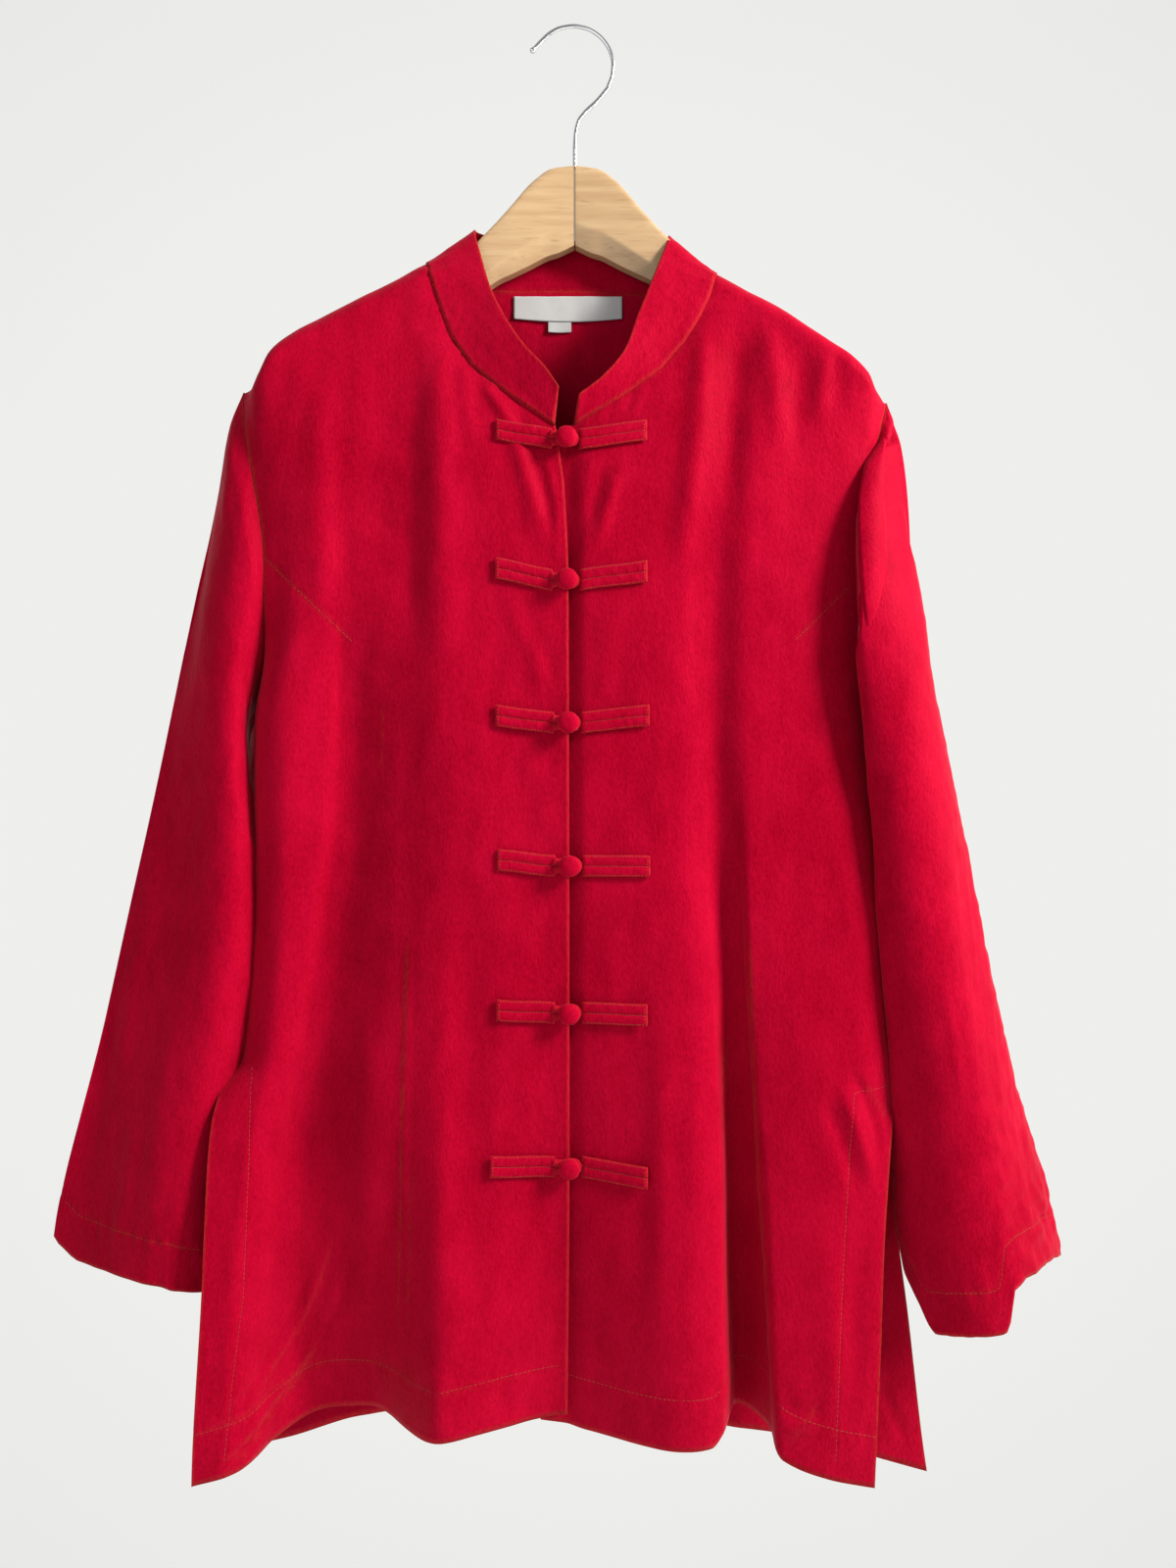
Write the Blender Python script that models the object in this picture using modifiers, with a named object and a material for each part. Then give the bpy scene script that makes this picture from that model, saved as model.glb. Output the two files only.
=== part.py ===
"""Mandarin collar shirt of red silk, hanging buttoned on a wooden hanger.

The part's frame: +Z up, -Y towards the viewer of the front, +Y towards the wall that it hangs near.
The origin is the inner top of the hook, where the hook bears on a nail or rod.
Right and left are the wearer's, so the right side lies at -X.
Lengths in this file are millimetres; MM turns them into metres.
"""

import math

import bmesh
import bpy
import numpy as np

MM = 0.001
CLOTH_WALL = 1.2
COLLAR_WALL = 1.8
LABEL_WALL = 1.0
SEAM_GAP = 0.3
ROOM = 0.4

# Side edge of the body on each side, from the shoulder tip down to the hem.
# The front and back edges part round the armhole and again below the top of the side slit.
# round is 1 where the cloth turns the corner to the other panel and 0 where its edge lies flat.
EDGE_COLUMNS = ("z", "front_x", "front_y", "back_x", "back_y", "round", "turn")
EDGE = {
    "right": (
        (-279, -238.8, -22.4, -238.8, -21.6, 0, 16),
        (-308, -234.6, -33, -235.0, -6, 0, 20),
        (-345, -227.4, -38, -229.0, 3, 0, 30),
        (-400, -220.1, -38, -224.0, 7, 0, 30),
        (-462, -223.1, -26, -226.0, 3, 0.3, 30),
        (-514, -232.6, -8, -232.6, -8, 1, 30),
        (-590, -234.8, -8, -234.8, -8, 1, 30),
        (-676, -237.8, -9, -237.8, -9, 1, 34),
        (-757, -241.0, -12.8, -241.0, -11.4, 1, 34),
        (-781, -252.0, -38, -244.0, -5, 0.3, 34),
        (-803, -256.0, -46, -247.0, -3, 0, 34),
        (-836, -257.8, -50, -252.0, 0, 0, 34),
        (-904, -258.7, -57, -261.0, 2, 0, 34),
        (-1046, -263.9, -64, -276.0, 6, 0, 34),
        (-1059, -264.0, -64, -277.0, 6, 0, 34),
    ),
    "left": (
        (-286, 225.5, -20.8, 225.5, -19.2, 0, 16),
        (-307, 219.8, -26, 221.0, -6, 0, 20),
        (-342, 214.4, -28, 217.0, 3, 0, 35),
        (-399, 213.5, -26, 216.0, 7, 0, 50),
        (-462, 214.4, -20, 217.0, 3, 0.3, 60),
        (-514, 216.5, -8, 216.5, -8, 1, 60),
        (-563, 221.5, -8, 221.5, -8, 1, 52),
        (-600, 226.5, -8, 226.5, -8, 1, 48),
        (-673, 232.0, -9, 232.0, -9, 1, 40),
        (-745, 233.5, -11.8, 233.5, -11.2, 1, 36),
        (-778, 231.5, -14.8, 231.5, -13.2, 1, 34),
        (-802, 225.6, -40, 234.0, -4, 0.3, 34),
        (-834, 221.5, -48, 236.0, -2, 0, 34),
        (-889, 216.6, -54, 239.5, 0, 0, 34),
        (-955, 213.3, -58, 248.0, 2, 0, 34),
        (-1048, 208.0, -62, 259.0, 4, 0, 34),
        (-1074, 207.0, -62, 262.7, 4, 0, 34),
    ),
}

# Faces across each panel, then rows of points up it from the hem. Front and back share the rows.
# Heights at the side edge are those of the slit's top and the underarm, and of the matching
# places on the centre front, up to the corner where the neckline starts.
ACROSS = {"front": 16, "back": 24, "sleeve": 15, "collar": 3}
ROWS = 24
HEM_ROWS = 8
# Above 1, rows crowd towards the shoulder tip, and a front's columns towards its side edge at the hem.
TIP_CROWDING = 1.25
SIDE_CROWDING = 1.5
SLIT_ROW = 6
UNDERARM_ROW = 12
NECK_ROW = 15
UNDERARM_Z = -514
SHOULDER_TIP_Z = {"right": -279, "left": -286}
SLIT_TOP_Z = {"right": -757, "left": -778}
CENTRE_AT_SLIT_Z = {"right": -738, "left": -752}
CENTRE_AT_UNDERARM_Z = {"right": -480, "left": -480}
NECK_CORNER_Z = {"right": -305, "left": -304}

# Inner edge of each front: up the centre front to the neck, then along the neckline to the shoulder.
INNER_COLUMNS = ("z", "x")
INNER = {
    "right": (
        (-1007, -4.8),
        (-834, -3.4),
        (-416, -4.1),
        (-353, -6.9),
        (-321, -11.0),
        (-305, -13.6),
        (-288, -38.9),
        (-265, -68.7),
        (-244, -85.5),
        (-212, -97.9),
        (-188, -105.4),
        (-178.5, -108.1),
    ),
    "left": (
        (-1013, -24.0),
        (-330, -25.0),
        (-312, -18.0),
        (-304, -0.6),
        (-290, 23.0),
        (-276, 44.7),
        (-257, 67.4),
        (-231, 85.6),
        (-208, 97.2),
        (-186, 103.4),
    ),
}

# Lower edge of each panel.
HEM_COLUMNS = ("x", "z")
HEM = {
    "right": (
        (-263.9, -1046),
        (-232, -1038),
        (-210, -1027),
        (-175, -1013),
        (-149, -1011),
        (-106, -1016),
        (-68, -1012),
        (-4.8, -1007),
    ),
    "left": (
        (-24, -1013),
        (10, -1018),
        (69, -1021),
        (95, -1020),
        (109, -1008),
        (132, -1013),
        (145, -1030),
        (173, -1040),
        (208, -1048),
    ),
    "back": (
        (-277, -1059),
        (-220, -1048),
        (-160, -1033),
        (-40, -1027),
        (60, -1030),
        (122, -1035),
        (200, -1056),
        (262.7, -1074),
    ),
}

# Shoulder seams, which lie over the hanger's arms, from the tip to the neck.
SHOULDER_COLUMNS = ("x", "z", "y")
SHOULDER = {
    "right": (
        (-238.8, -279.0, -22),
        (-232.0, -276.0, -25),
        (-224.8, -264.8, -28),
        (-217.0, -250.5, -29),
        (-201.4, -235.6, -25),
        (-183.8, -224.0, -20),
        (-155.0, -206.0, -13),
        (-130.0, -191.5, -8.5),
        (-108.1, -178.5, -6),
    ),
    "left": (
        (225.5, -286.0, -20),
        (216.8, -277.0, -26),
        (209.7, -265.0, -29),
        (199.0, -254.0, -29),
        (185.4, -243.0, -25),
        (167.5, -229.0, -20),
        (149.0, -214.0, -14),
        (126.0, -200.0, -9),
        (103.4, -186.0, -6),
    ),
}
# The same line across the neck, inside the collar.
OVER_NECK = ((-80.0, -170.0, -2), (0.0, -168.0, 0), (80.0, -174.0, -2))
NECK_X = {"right": -108.1, "left": 103.4}
BACK_NECK_COLUMNS = ("x", "z")
BACK_NECK = (
    (-108.1, -178.5),
    (-92.0, -187.0),
    (-74.0, -190.5),
    (-40.0, -191.5),
    (0.0, -191.0),
    (40.0, -193.0),
    (70.0, -193.5),
    (88.0, -192.0),
    (103.4, -186.0),
)

# How the cloth leaves the shoulder seam: first over the wood's edge, then out to the hanging plane.
OVER_WOOD = 11.0
OVER_WOOD_TURN = 14.0
FALL_COLUMNS = ("distance", "front", "back")
FALL = (
    (0, 200, 40),
    (100, 200, 45),
    (160, 110, 70),
    (200, 60, 80),
    (240, 50, 80),
)

# Depth of the hanging cloth: each fold is a pair of columns, its place across and its depth.
# A row is one height. Depth runs smoothly from fold to fold.
FOLD_NAMES = {
    "right": ("side", "trough", "floor", "crest", "centre"),
    "left": ("lap", "front", "swell", "brink", "valley", "plane", "far"),
    "back": ("right_side", "right_dip", "right_crest", "dip", "left_crest", "left_side"),
}
FOLDS = {
    "right": (
        (-180, -200, -40, -165, -40, -140, -40, -100, -40, -8, -40),
        (-300, -195, -43, -160, -41, -130, -41, -95, -44, -8, -42),
        (-400, -190, -46, -158, -41, -128, -41, -92, -45, -8, -42),
        (-460, -196, -46, -157, -38, -126, -40, -92, -45, -8, -42),
        (-563, -205, -43, -158, -32, -125, -39, -92, -45, -8, -42),
        (-678, -214, -41, -168, -29, -128, -38, -90, -46, -8, -42),
        (-764, -222, -42, -184, -27, -134, -37, -90, -48, -8, -42),
        (-850, -236, -50, -196, -27, -140, -33, -90, -54, -8, -42),
        (-945, -244, -58, -196, -24, -145, -26, -90, -63, -8, -42),
        (-1046, -246, -63, -184, -20, -150, -18, -90, -70, -8, -42),
    ),
    "left": (
        (-180, -6, -37, 8, -40, 76, -40, 92, -40, 104, -40, 124, -40, 175, -38),
        (-300, -6, -38, 8, -42, 76, -43, 92, -42, 104, -41, 124, -42, 175, -38),
        (-450, -6, -38, 8, -42, 76, -44, 92, -42, 104, -41, 124, -42, 175, -38),
        (-563, -6, -38, 8, -42, 76, -44, 92, -42, 104, -39, 124, -42, 175, -40),
        (-680, -6, -38, 8, -42, 78, -46, 98, -43, 110, -37, 126, -43, 180, -45),
        (-764, -6, -38, 8, -42, 80, -51, 102, -47, 113, -35, 130, -45, 185, -50),
        (-850, -6, -38, 8, -42, 80, -58, 103, -52, 117, -30, 138, -50, 185, -54),
        (-945, -6, -38, 8, -42, 80, -64, 103, -58, 118, -26, 141, -56, 185, -60),
        (-1048, -6, -38, 8, -42, 80, -69, 103, -62, 118, -24, 146, -62, 190, -66),
    ),
    "back": (
        (-190, -190, 8, -120, 10, -40, 12, 50, 12, 120, 10, 190, 8),
        (-450, -190, 9, -120, 10, -40, 11, 50, 10, 120, 10, 190, 8),
        (-764, -195, 6, -125, 10, -42, 5, 50, 10, 120, 3, 190, 7),
        (-1074, -200, 0, -130, 10, -45, -2, 50, 10, 122, -10, 195, 4),
    ),
}

# Sleeves: a row is one ring, its share of the length from the armhole to the cuff.
# outer and inner are the ring's two edges as seen from the front.
SLEEVE_COLUMNS = (
    "share", "outer_x", "outer_z", "outer_y", "inner_x", "inner_z", "inner_y",
    "ridge_share", "ridge_y", "back_y", "droop",
)
SLEEVE = {
    "right": (
        (0.00, -238.8, -279, -22, -232.6, -514, -8, 0.50, -40, 6, 0),
        (0.04, -248.0, -303, -24, -236.0, -529, -9, 0.50, -44, 7, 0),
        (0.12, -258.0, -349, -22, -236.5, -563, -7, 0.52, -45, 8, 0),
        (0.25, -278.0, -432, -18, -236.2, -617, -3, 0.58, -46, 7, 0),
        (0.50, -311.0, -585, -16, -238.0, -720, -3, 0.68, -46, 6, 0),
        (0.60, -324.6, -646, -16, -240.0, -761, -6, 0.69, -46, 5, 0),
        (0.75, -345.0, -738, -16, -252.0, -822, -25, 0.70, -46, 3, 0),
        (0.97, -378.5, -874, -16, -258.5, -913, -29, 0.70, -45, 0, 0),
        (1.00, -381.0, -891, -16, -260.0, -925, -29, 0.70, -45, 0, 0),
    ),
    "left": (
        (0.00, 225.5, -286, -20, 216.5, -514, -8, 0.50, -40, 6, 0),
        (0.015, 228.5, -296, -21, 220.4, -522, -20, 0.46, -46, 6, 0),
        (0.05, 235.5, -316, -22, 211.5, -537, -40, 0.42, -48, 6, 0),
        (0.12, 242.7, -360, -20, 211.0, -561, -40, 0.40, -48, 6, 0),
        (0.25, 249.6, -441, -16, 216.5, -613, -38, 0.42, -48, 5, 0),
        (0.50, 280.0, -596, -12, 222.8, -711, -38, 0.44, -50, 4, 4),
        (0.75, 315.0, -751, -12, 229.0, -810, -32, 0.45, -53, 2, 16),
        (0.97, 354.0, -887, -12, 235.5, -897, -26, 0.52, -58, 0, 38),
        (1.00, 357.5, -906, -12, 236.0, -909, -25, 0.52, -58, 0, 40),
    ),
}

# How far the sleeve starts outside the armhole where the body's cloth turns the corner there.
SLEEVE_STANDOFF = 1.7
# How far the sleeve's outer edge is drawn in below the shoulder, for its wall and its roundness.
SLEEVE_TRIM = 1.6
# How far the droop of the cuff's front lies from its outer edge.
DROOP_PEAK = 0.68
# The cuff's front edge: how far it lies above its plain curve, from its outer edge to its inner one.
CUFF_COLUMNS = ("share", "rise")
CUFF = {
    "right": (
        (0.0, 0.0), (0.03, -4.0), (0.12, -8.5), (0.17, -9.5), (0.3, -7.5), (0.46, -5.0),
        (0.63, -2.2), (0.75, 0.0), (1.0, 0.0),
    ),
    "left": (
        (0.0, 0.0), (0.117, 11.1), (0.23, 18.7), (0.37, 26.4), (0.41, 26.0), (0.437, 24.6),
        (0.455, 2.0), (0.48, -1.4), (0.544, 1.1), (0.63, 3.7), (0.713, 2.7), (0.79, -1.7),
        (0.848, -7.5), (0.875, -6.0), (0.919, -0.7), (0.963, 2.0), (1.0, 0.0),
    ),
}
# Where along the sleeve the cuff's own shape begins.
CUFF_SHAPE_STARTS = 0.8
# How far a sleeve's front folds back over the front panel, just below the shoulder.
SLEEVE_LAP = {"right": 0.0, "left": -25.0}
# Where the lap is widest on its way from the shoulder to the underarm, and how square it is there.
LAP_PEAK = 0.2
LAP_SQUARE = 0.9
# How square a sleeve's back stands up from its outer edge and from its inner one: a lower power is squarer.
SLEEVE_SQUARE = {"right": (0.7, 0.7), "left": (0.7, 2.0)}
# Shares of the sleeve's length: where it leaves the armhole's depth, where the lap comes and goes,
# and where the ring leaves the armhole's line.
LEAVES_DEPTH = 0.04
LAP_STARTS = 0.01
LAP_FULL = 0.06
LAP_FALLS = 0.08
LEAVES_ARMHOLE = 0.25
TRIM_FULL = 0.2
# Above 1, the sleeve's rings crowd towards the armhole.
RING_CROWDING = 1.6
# How square the top of a sleeve's ridge is: a lower power is squarer.
RIDGE_SQUARE = 0.7

# Stand collar: a row is one place of its top edge, with its share of the way round
# from the right front end to the left one. Its lower edge is the neckline.
COLLAR_COLUMNS = ("share", "top_x", "top_z", "top_y")
COLLAR = (
    (0.00, -11.0, -279.0, -42),
    (0.04, -20.0, -265.5, -41),
    (0.08, -35.6, -248.0, -38),
    (0.13, -49.3, -226.7, -33),
    (0.18, -60.5, -202.4, -25),
    (0.24, -68.7, -173.7, -15),
    (0.31, -73.5, -154.0, -6),
    (0.35, -73.8, -149.5, 2),
    (0.39, -66.0, -151.0, 9),
    (0.45, -45.0, -155.5, 12),
    (0.50, 0.0, -158.0, 13),
    (0.55, 43.0, -157.0, 12),
    (0.61, 62.0, -154.5, 9),
    (0.65, 69.6, -153.5, 2),
    (0.69, 69.0, -158.0, -6),
    (0.76, 62.8, -177.0, -15),
    (0.82, 53.1, -203.8, -25),
    (0.87, 45.4, -224.5, -31),
    (0.92, 36.4, -249.9, -36),
    (0.96, 21.0, -270.0, -40),
    (1.00, 3.5, -284.0, -41),
)

# Frog fastenings: a row is one pair of strips with its loop and button.
# Each is a place: x and z.
FROG_COLUMNS = ("right_end", "button", "left_end")
FROGS = (
    ((-55.3, -309.6), (-5.5, -316.2), (51.4, -310.0)),
    ((-55.3, -408.7), (-4.9, -417.0), (51.4, -410.8)),
    ((-55.3, -512.6), (-4.0, -517.8), (53.0, -512.6)),
    ((-54.0, -614.8), (-3.0, -618.9), (53.4, -619.2)),
    ((-54.6, -720.4), (-3.5, -722.8), (51.4, -723.6)),
    ((-58.8, -829.5), (-3.3, -831.5), (51.4, -836.2)),
)
STRIP_WIDTH = 14.5
STRIP_WALL = 1.6
STRIP_ROUND = 0.9
STRIP_FACES = (5, 8)
STRIP_TO_BUTTON = {"right": 10.5, "left": 9.0}
LOOP_RADIUS = 1.5
LOOP_HALF_WIDTH = 4.4
LOOP_REACH = 7.0
BUTTON_RADIUS = 8.0
BUTTON_HALF_DEPTH = 4.2
BUTTON_STEM_RADIUS = 2.0
BUTTON_SINK = 0.6
BUTTON_SIDES = 14
# Places round the button's profile, in degrees above its rim.
BUTTON_PROFILE = (65, 40, 15, -15, -40)
LOOP_STEPS = 6

LABEL_FACES = (4, 1)
LABEL = {"left": -46.1, "right": 35.5, "top": -195.0, "bottom": -212.0}
SIZE_TAB = {"left": -20.0, "right": -2.8, "top": -212.5, "bottom": -222.0}

# Hanger arm: a row is one station out from the centre.
# Past the neck its top lies just under the shoulder seam.
ARM_COLUMNS = ("out", "top", "height", "thickness")
ARM = (
    (0, -105, 50, 16),
    (16, -107, 54, 16),
    (31, -117, 54, 16),
    (46, -134, 47, 16),
    (58, -147.5, 42, 15.5),
    (70, -160, 40, 15),
    (86, -177, 37, 15),
    (108, -195, 33, 14),
    (150, -212, 30, 14),
    (190, -246, 27, 13),
)
ARM_END = {"right": 217.0, "left": 204.0}
ARM_UNDER_SEAM = 2.2
ARM_MEETS_SEAM = (86.0, 130.0)
ARM_END_ROUND = 14.0
# How much of the arm's size is left at its very end, and how its sections crowd towards it.
ARM_END_SHARE = 0.02
ARM_CROWDING = 1.4
SHARP_DEGREES = 50
# Below 1, the section's sides and its top and bottom are fuller than an ellipse.
ARM_SIDE_POWER = 0.7
ARM_TOP_POWER = 0.9
ARM_SECTIONS = 16
ARM_SIDES = 16

HOOK_WIRE = 3.2
HOOK_RADIUS = 30.0
HOOK_CENTRE_X = -1.5
HOOK_TIP = (-32.8, -18.1)
HOOK_SHANK = ((25.4, -43.0), (16.7, -53.6), (7.4, -62.5), (2.6, -69.5), (0.6, -79.0), (0.0, -90.0))
WOOD_TOP_Z = -105.0
# The arc's points, in degrees: the first, the last and the step.
HOOK_ARC = (140, -30, -17)
HOOK_POINTS = 40
# Thickness of the wire at its first points, where its end is a ball.
HOOK_BALL = (0.7, 1.45, 1.35)

SILK = (0.50, 0.004, 0.022, 1.0)
SILK_LIGHT = (0.56, 0.010, 0.028, 1.0)
IVORY = (0.82, 0.79, 0.70, 1.0)
BEECH = (0.60, 0.40, 0.20, 1.0)
CHROME = (0.72, 0.72, 0.74, 1.0)


def column(columns, rows, name):
    return [row[columns.index(name)] for row in rows]


def curve_through(stations, values):
    """Smooth curve through values at the stations, with no overshoot, held level beyond its ends."""
    x = np.array(stations, float)
    y = np.array(values, float)
    if x[0] > x[-1]:
        x = x[::-1]
        y = y[::-1]
    step = np.diff(x)
    slope = np.diff(y) / step
    tangent = np.zeros_like(y)
    tangent[0] = slope[0]
    tangent[-1] = slope[-1]
    for i in range(1, len(x) - 1):
        if slope[i - 1] * slope[i] > 0:
            tangent[i] = 2 / (1 / slope[i - 1] + 1 / slope[i])

    def at(place):
        place = np.clip(np.asarray(place, float), x[0], x[-1])
        i = np.clip(np.searchsorted(x, place, side="right") - 1, 0, len(step) - 1)
        t = (place - x[i]) / step[i]
        return (
            (1 + 2 * t) * (1 - t) ** 2 * y[i]
            + t * (1 - t) ** 2 * step[i] * tangent[i]
            + t * t * (3 - 2 * t) * y[i + 1]
            + t * t * (t - 1) * step[i] * tangent[i + 1]
        )

    return at


def curves_of(columns, rows):
    """The columns of a table as curves over its first column."""
    stations = column(columns, rows, columns[0])
    return {name: curve_through(stations, column(columns, rows, name)) for name in columns[1:]}


def blend(a, b, share):
    return a + (b - a) * share


def ease(t):
    """From 0 to 1, quick at first."""
    return 1 - (1 - np.clip(t, 0, 1)) ** 2


def turn(t):
    """A quarter circle: from 0 to 1, starting square to the way it goes on."""
    return np.sqrt(1 - (1 - np.clip(t, 0, 1)) ** 2)


def smooth(t):
    t = np.clip(t, 0, 1)
    return t * t * (3 - 2 * t)


def seam_over_wood():
    """The line over the hanger from one shoulder tip to the other: z and y over x, in straight steps."""
    rows = SHOULDER["right"] + OVER_NECK + SHOULDER["left"][::-1]
    x, z, y = (column(SHOULDER_COLUMNS, rows, name) for name in SHOULDER_COLUMNS)
    return {"z": lambda place: np.interp(place, x, z), "y": lambda place: np.interp(place, x, y)}


EDGES = {side: curves_of(EDGE_COLUMNS, EDGE[side]) for side in EDGE}
INNERS = {side: curves_of(INNER_COLUMNS, INNER[side])["x"] for side in INNER}
HEMS = {panel: curves_of(HEM_COLUMNS, HEM[panel])["z"] for panel in HEM}
SEAM_OVER_WOOD = seam_over_wood()
FALLS = curves_of(FALL_COLUMNS, FALL)


def armhole_share(w):
    """Share of the armhole's height below its tip, for the share w of its rows."""
    return (1 - np.cos(np.pi * np.clip(w, 0, 1) ** TIP_CROWDING)) / 2


def side_height(row, hem_z, side):
    """Height of a row at a panel's side edge."""
    low = np.interp(row, (0, SLIT_ROW, UNDERARM_ROW), (hem_z, SLIT_TOP_Z[side], UNDERARM_Z))
    rise = 1 - armhole_share((ROWS - row) / (ROWS - UNDERARM_ROW))
    return np.where(row > UNDERARM_ROW, blend(UNDERARM_Z, SHOULDER_TIP_Z[side], rise), low)


def inner_height(row, hem_z, side):
    """Height of a row at a front's inner edge."""
    low = np.interp(
        row,
        (0, SLIT_ROW, UNDERARM_ROW, NECK_ROW),
        (hem_z, CENTRE_AT_SLIT_Z[side], CENTRE_AT_UNDERARM_Z[side], NECK_CORNER_Z[side]),
    )
    span = ROWS - UNDERARM_ROW
    rise = 1 - armhole_share((ROWS - row) / span) / armhole_share((ROWS - NECK_ROW) / span)
    neck_z = SHOULDER[side][-1][1]
    return np.where(row > NECK_ROW, blend(NECK_CORNER_Z[side], neck_z, rise), low)


def hanging_depth(panel, x, z):
    """Depth of the hanging cloth, read across its folds at the height z."""
    rows = FOLDS[panel]
    heights = [row[0] for row in rows]
    places = []
    depths = []
    for fold in range(len(FOLD_NAMES[panel])):
        places.append(curve_through(heights, [row[1 + 2 * fold] for row in rows])(z))
        depths.append(curve_through(heights, [row[2 + 2 * fold] for row in rows])(z))
    places = np.array(places)
    depths = np.array(depths)
    step = np.diff(places, axis=0)
    slope = np.diff(depths, axis=0) / step
    tangent = np.zeros_like(depths)
    product = slope[:-1] * slope[1:]
    same_way = product > 0
    total = np.where(same_way, slope[:-1] + slope[1:], 1.0)
    tangent[1:-1] = np.where(same_way, 2 * product / total, 0.0)
    x = np.clip(x, places[0], places[-1])
    i = np.clip((x[None, :] >= places).sum(axis=0) - 1, 0, len(places) - 2)
    point = np.arange(len(x))
    h = step[i, point]
    t = (x - places[i, point]) / h
    return (
        (1 + 2 * t) * (1 - t) ** 2 * depths[i, point]
        + t * (1 - t) ** 2 * h * tangent[i, point]
        + t * t * (3 - 2 * t) * depths[i + 1, point]
        + t * t * (t - 1) * h * tangent[i + 1, point]
    )


def depth_under_seam(panel, x, z, z_top):
    """Depth near the shoulder: over the wood, then out to where the cloth hangs."""
    way = 1 if panel == "back" else -1
    start = SEAM_OVER_WOOD["y"](x) + way * (SEAM_GAP + ROOM) / 2
    below = np.maximum(z_top - z, 0)
    fall = FALLS["back" if panel == "back" else "front"](np.abs(x))
    over = start + way * OVER_WOOD * turn(below / OVER_WOOD_TURN)
    left_to_go = hanging_depth(panel, x, z) - start - way * OVER_WOOD
    return over + left_to_go * ease(below / fall)


def edge_depth(y, side, face, x, edge_x, edge_z):
    """Brings the depth to the side seam or the armhole's edge."""
    edge = EDGES[side]
    way = 1 if face == "back" else -1
    y_edge = edge[face + "_y"](edge_z) + way * (SEAM_GAP / 2 + ROOM)
    away = np.abs(x - edge_x) / edge["turn"](edge_z)
    share = blend(ease(away), turn(away), edge["round"](edge_z))
    return y_edge + (y - y_edge) * share


def plan(share, share_low, share_high, row, first, last, bottom, top):
    """Places across and up of a panel's points, inside its four edges.

    first and last are the two side edges: x and z at each row, then both ends' x and z.
    The shares give the place across: at the row itself, along the bottom and along the top.
    """
    x = blend(first["x"], last["x"], share)
    z = blend(first["z"], last["z"], share)
    x_low = blend(first["low"][0], last["low"][0], share_low)
    z_low = blend(first["low"][1], last["low"][1], share_low)
    x_high = blend(first["high"][0], last["high"][0], share_high)
    z_high = blend(first["high"][1], last["high"][1], share_high)
    z = z + smooth((row - UNDERARM_ROW) / (ROWS - UNDERARM_ROW)) * (top(x_high) - z_high)
    z = z + smooth((HEM_ROWS - row) / HEM_ROWS) * (bottom(x_low) - z_low)
    return x, z


def edge_line(edge_x, z, z_low, z_high):
    return {"x": edge_x(z), "z": z, "low": (edge_x(z_low), z_low), "high": (edge_x(z_high), z_high)}


def share_along(x_stations, u):
    """Share across of the place u along a list of stations."""
    x = np.interp(u * (len(x_stations) - 1), np.arange(len(x_stations)), x_stations)
    return (x - x_stations[0]) / (x_stations[-1] - x_stations[0])


def front_point(side, u, row):
    """Mid-surface of a front: u from its side edge to its inner edge, row from the hem up."""
    hem = HEM[side]
    outer_low, inner_low = (hem[0][1], hem[-1][1]) if side == "right" else (hem[-1][1], hem[0][1])
    shoulder = SHOULDER[side]
    neck_z = shoulder[-1][1]
    outer_z = side_height(row, outer_low, side)
    first = edge_line(EDGES[side]["front_x"], outer_z, outer_low, SHOULDER_TIP_Z[side])
    last = edge_line(INNERS[side], inner_height(row, inner_low, side), inner_low, neck_z)
    share_low = u**SIDE_CROWDING
    share_high = share_along([place[0] for place in shoulder], u)
    share = blend(share_low, share_high, smooth((row - UNDERARM_ROW) / (ROWS - UNDERARM_ROW)))
    x, z = plan(share, share_low, share_high, row, first, last, HEMS[side], SEAM_OVER_WOOD["z"])
    z_top = np.minimum(SEAM_OVER_WOOD["z"](x), neck_z)
    y = depth_under_seam(side, x, z, z_top)
    y = edge_depth(y, side, "front", x, first["x"], outer_z)
    return np.stack([x, y, z], axis=1)


def back_point(u, row):
    """Mid-surface of the back: u from the wearer's right side to the left, row from the hem up."""
    hem = HEM["back"]
    top_line = SHOULDER["right"] + BACK_NECK[1:-1] + SHOULDER["left"][::-1]
    top_x = [place[0] for place in top_line]
    top_z = [place[1] for place in top_line]

    def top(x):
        return np.interp(x, top_x, top_z)

    right_z = side_height(row, hem[0][1], "right")
    left_z = side_height(row, hem[-1][1], "left")
    first = edge_line(EDGES["right"]["back_x"], right_z, hem[0][1], SHOULDER_TIP_Z["right"])
    last = edge_line(EDGES["left"]["back_x"], left_z, hem[-1][1], SHOULDER_TIP_Z["left"])
    share_low = (1 - np.cos(np.pi * u)) / 2
    share_high = share_along(top_x, u)
    share = blend(share_low, share_high, smooth((row - UNDERARM_ROW) / (ROWS - UNDERARM_ROW)))
    x, z = plan(share, share_low, share_high, row, first, last, HEMS["back"], top)
    y = depth_under_seam("back", x, z, np.maximum(SEAM_OVER_WOOD["z"](x), z))
    y = edge_depth(y, "right", "back", x, first["x"], right_z)
    y = edge_depth(y, "left", "back", x, last["x"], left_z)
    return np.stack([x, y, z], axis=1)


def armhole_point(side, face, t):
    """A point of the armhole, t from the shoulder tip to the underarm along the front or the back."""
    z = blend(SHOULDER_TIP_Z[side], UNDERARM_Z, t)
    edge = EDGES[side]
    return edge[face + "_x"](z), edge[face + "_y"](z), z


def hump(t, peak, square=RIDGE_SQUARE):
    """Rises from 0, is 1 at the peak's share, and falls to 0 at 1: a lower power makes it squarer."""
    power = math.log(0.5) / np.log(peak)
    return np.sin(np.pi * np.clip(t, 0, 1) ** power) ** square


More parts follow.
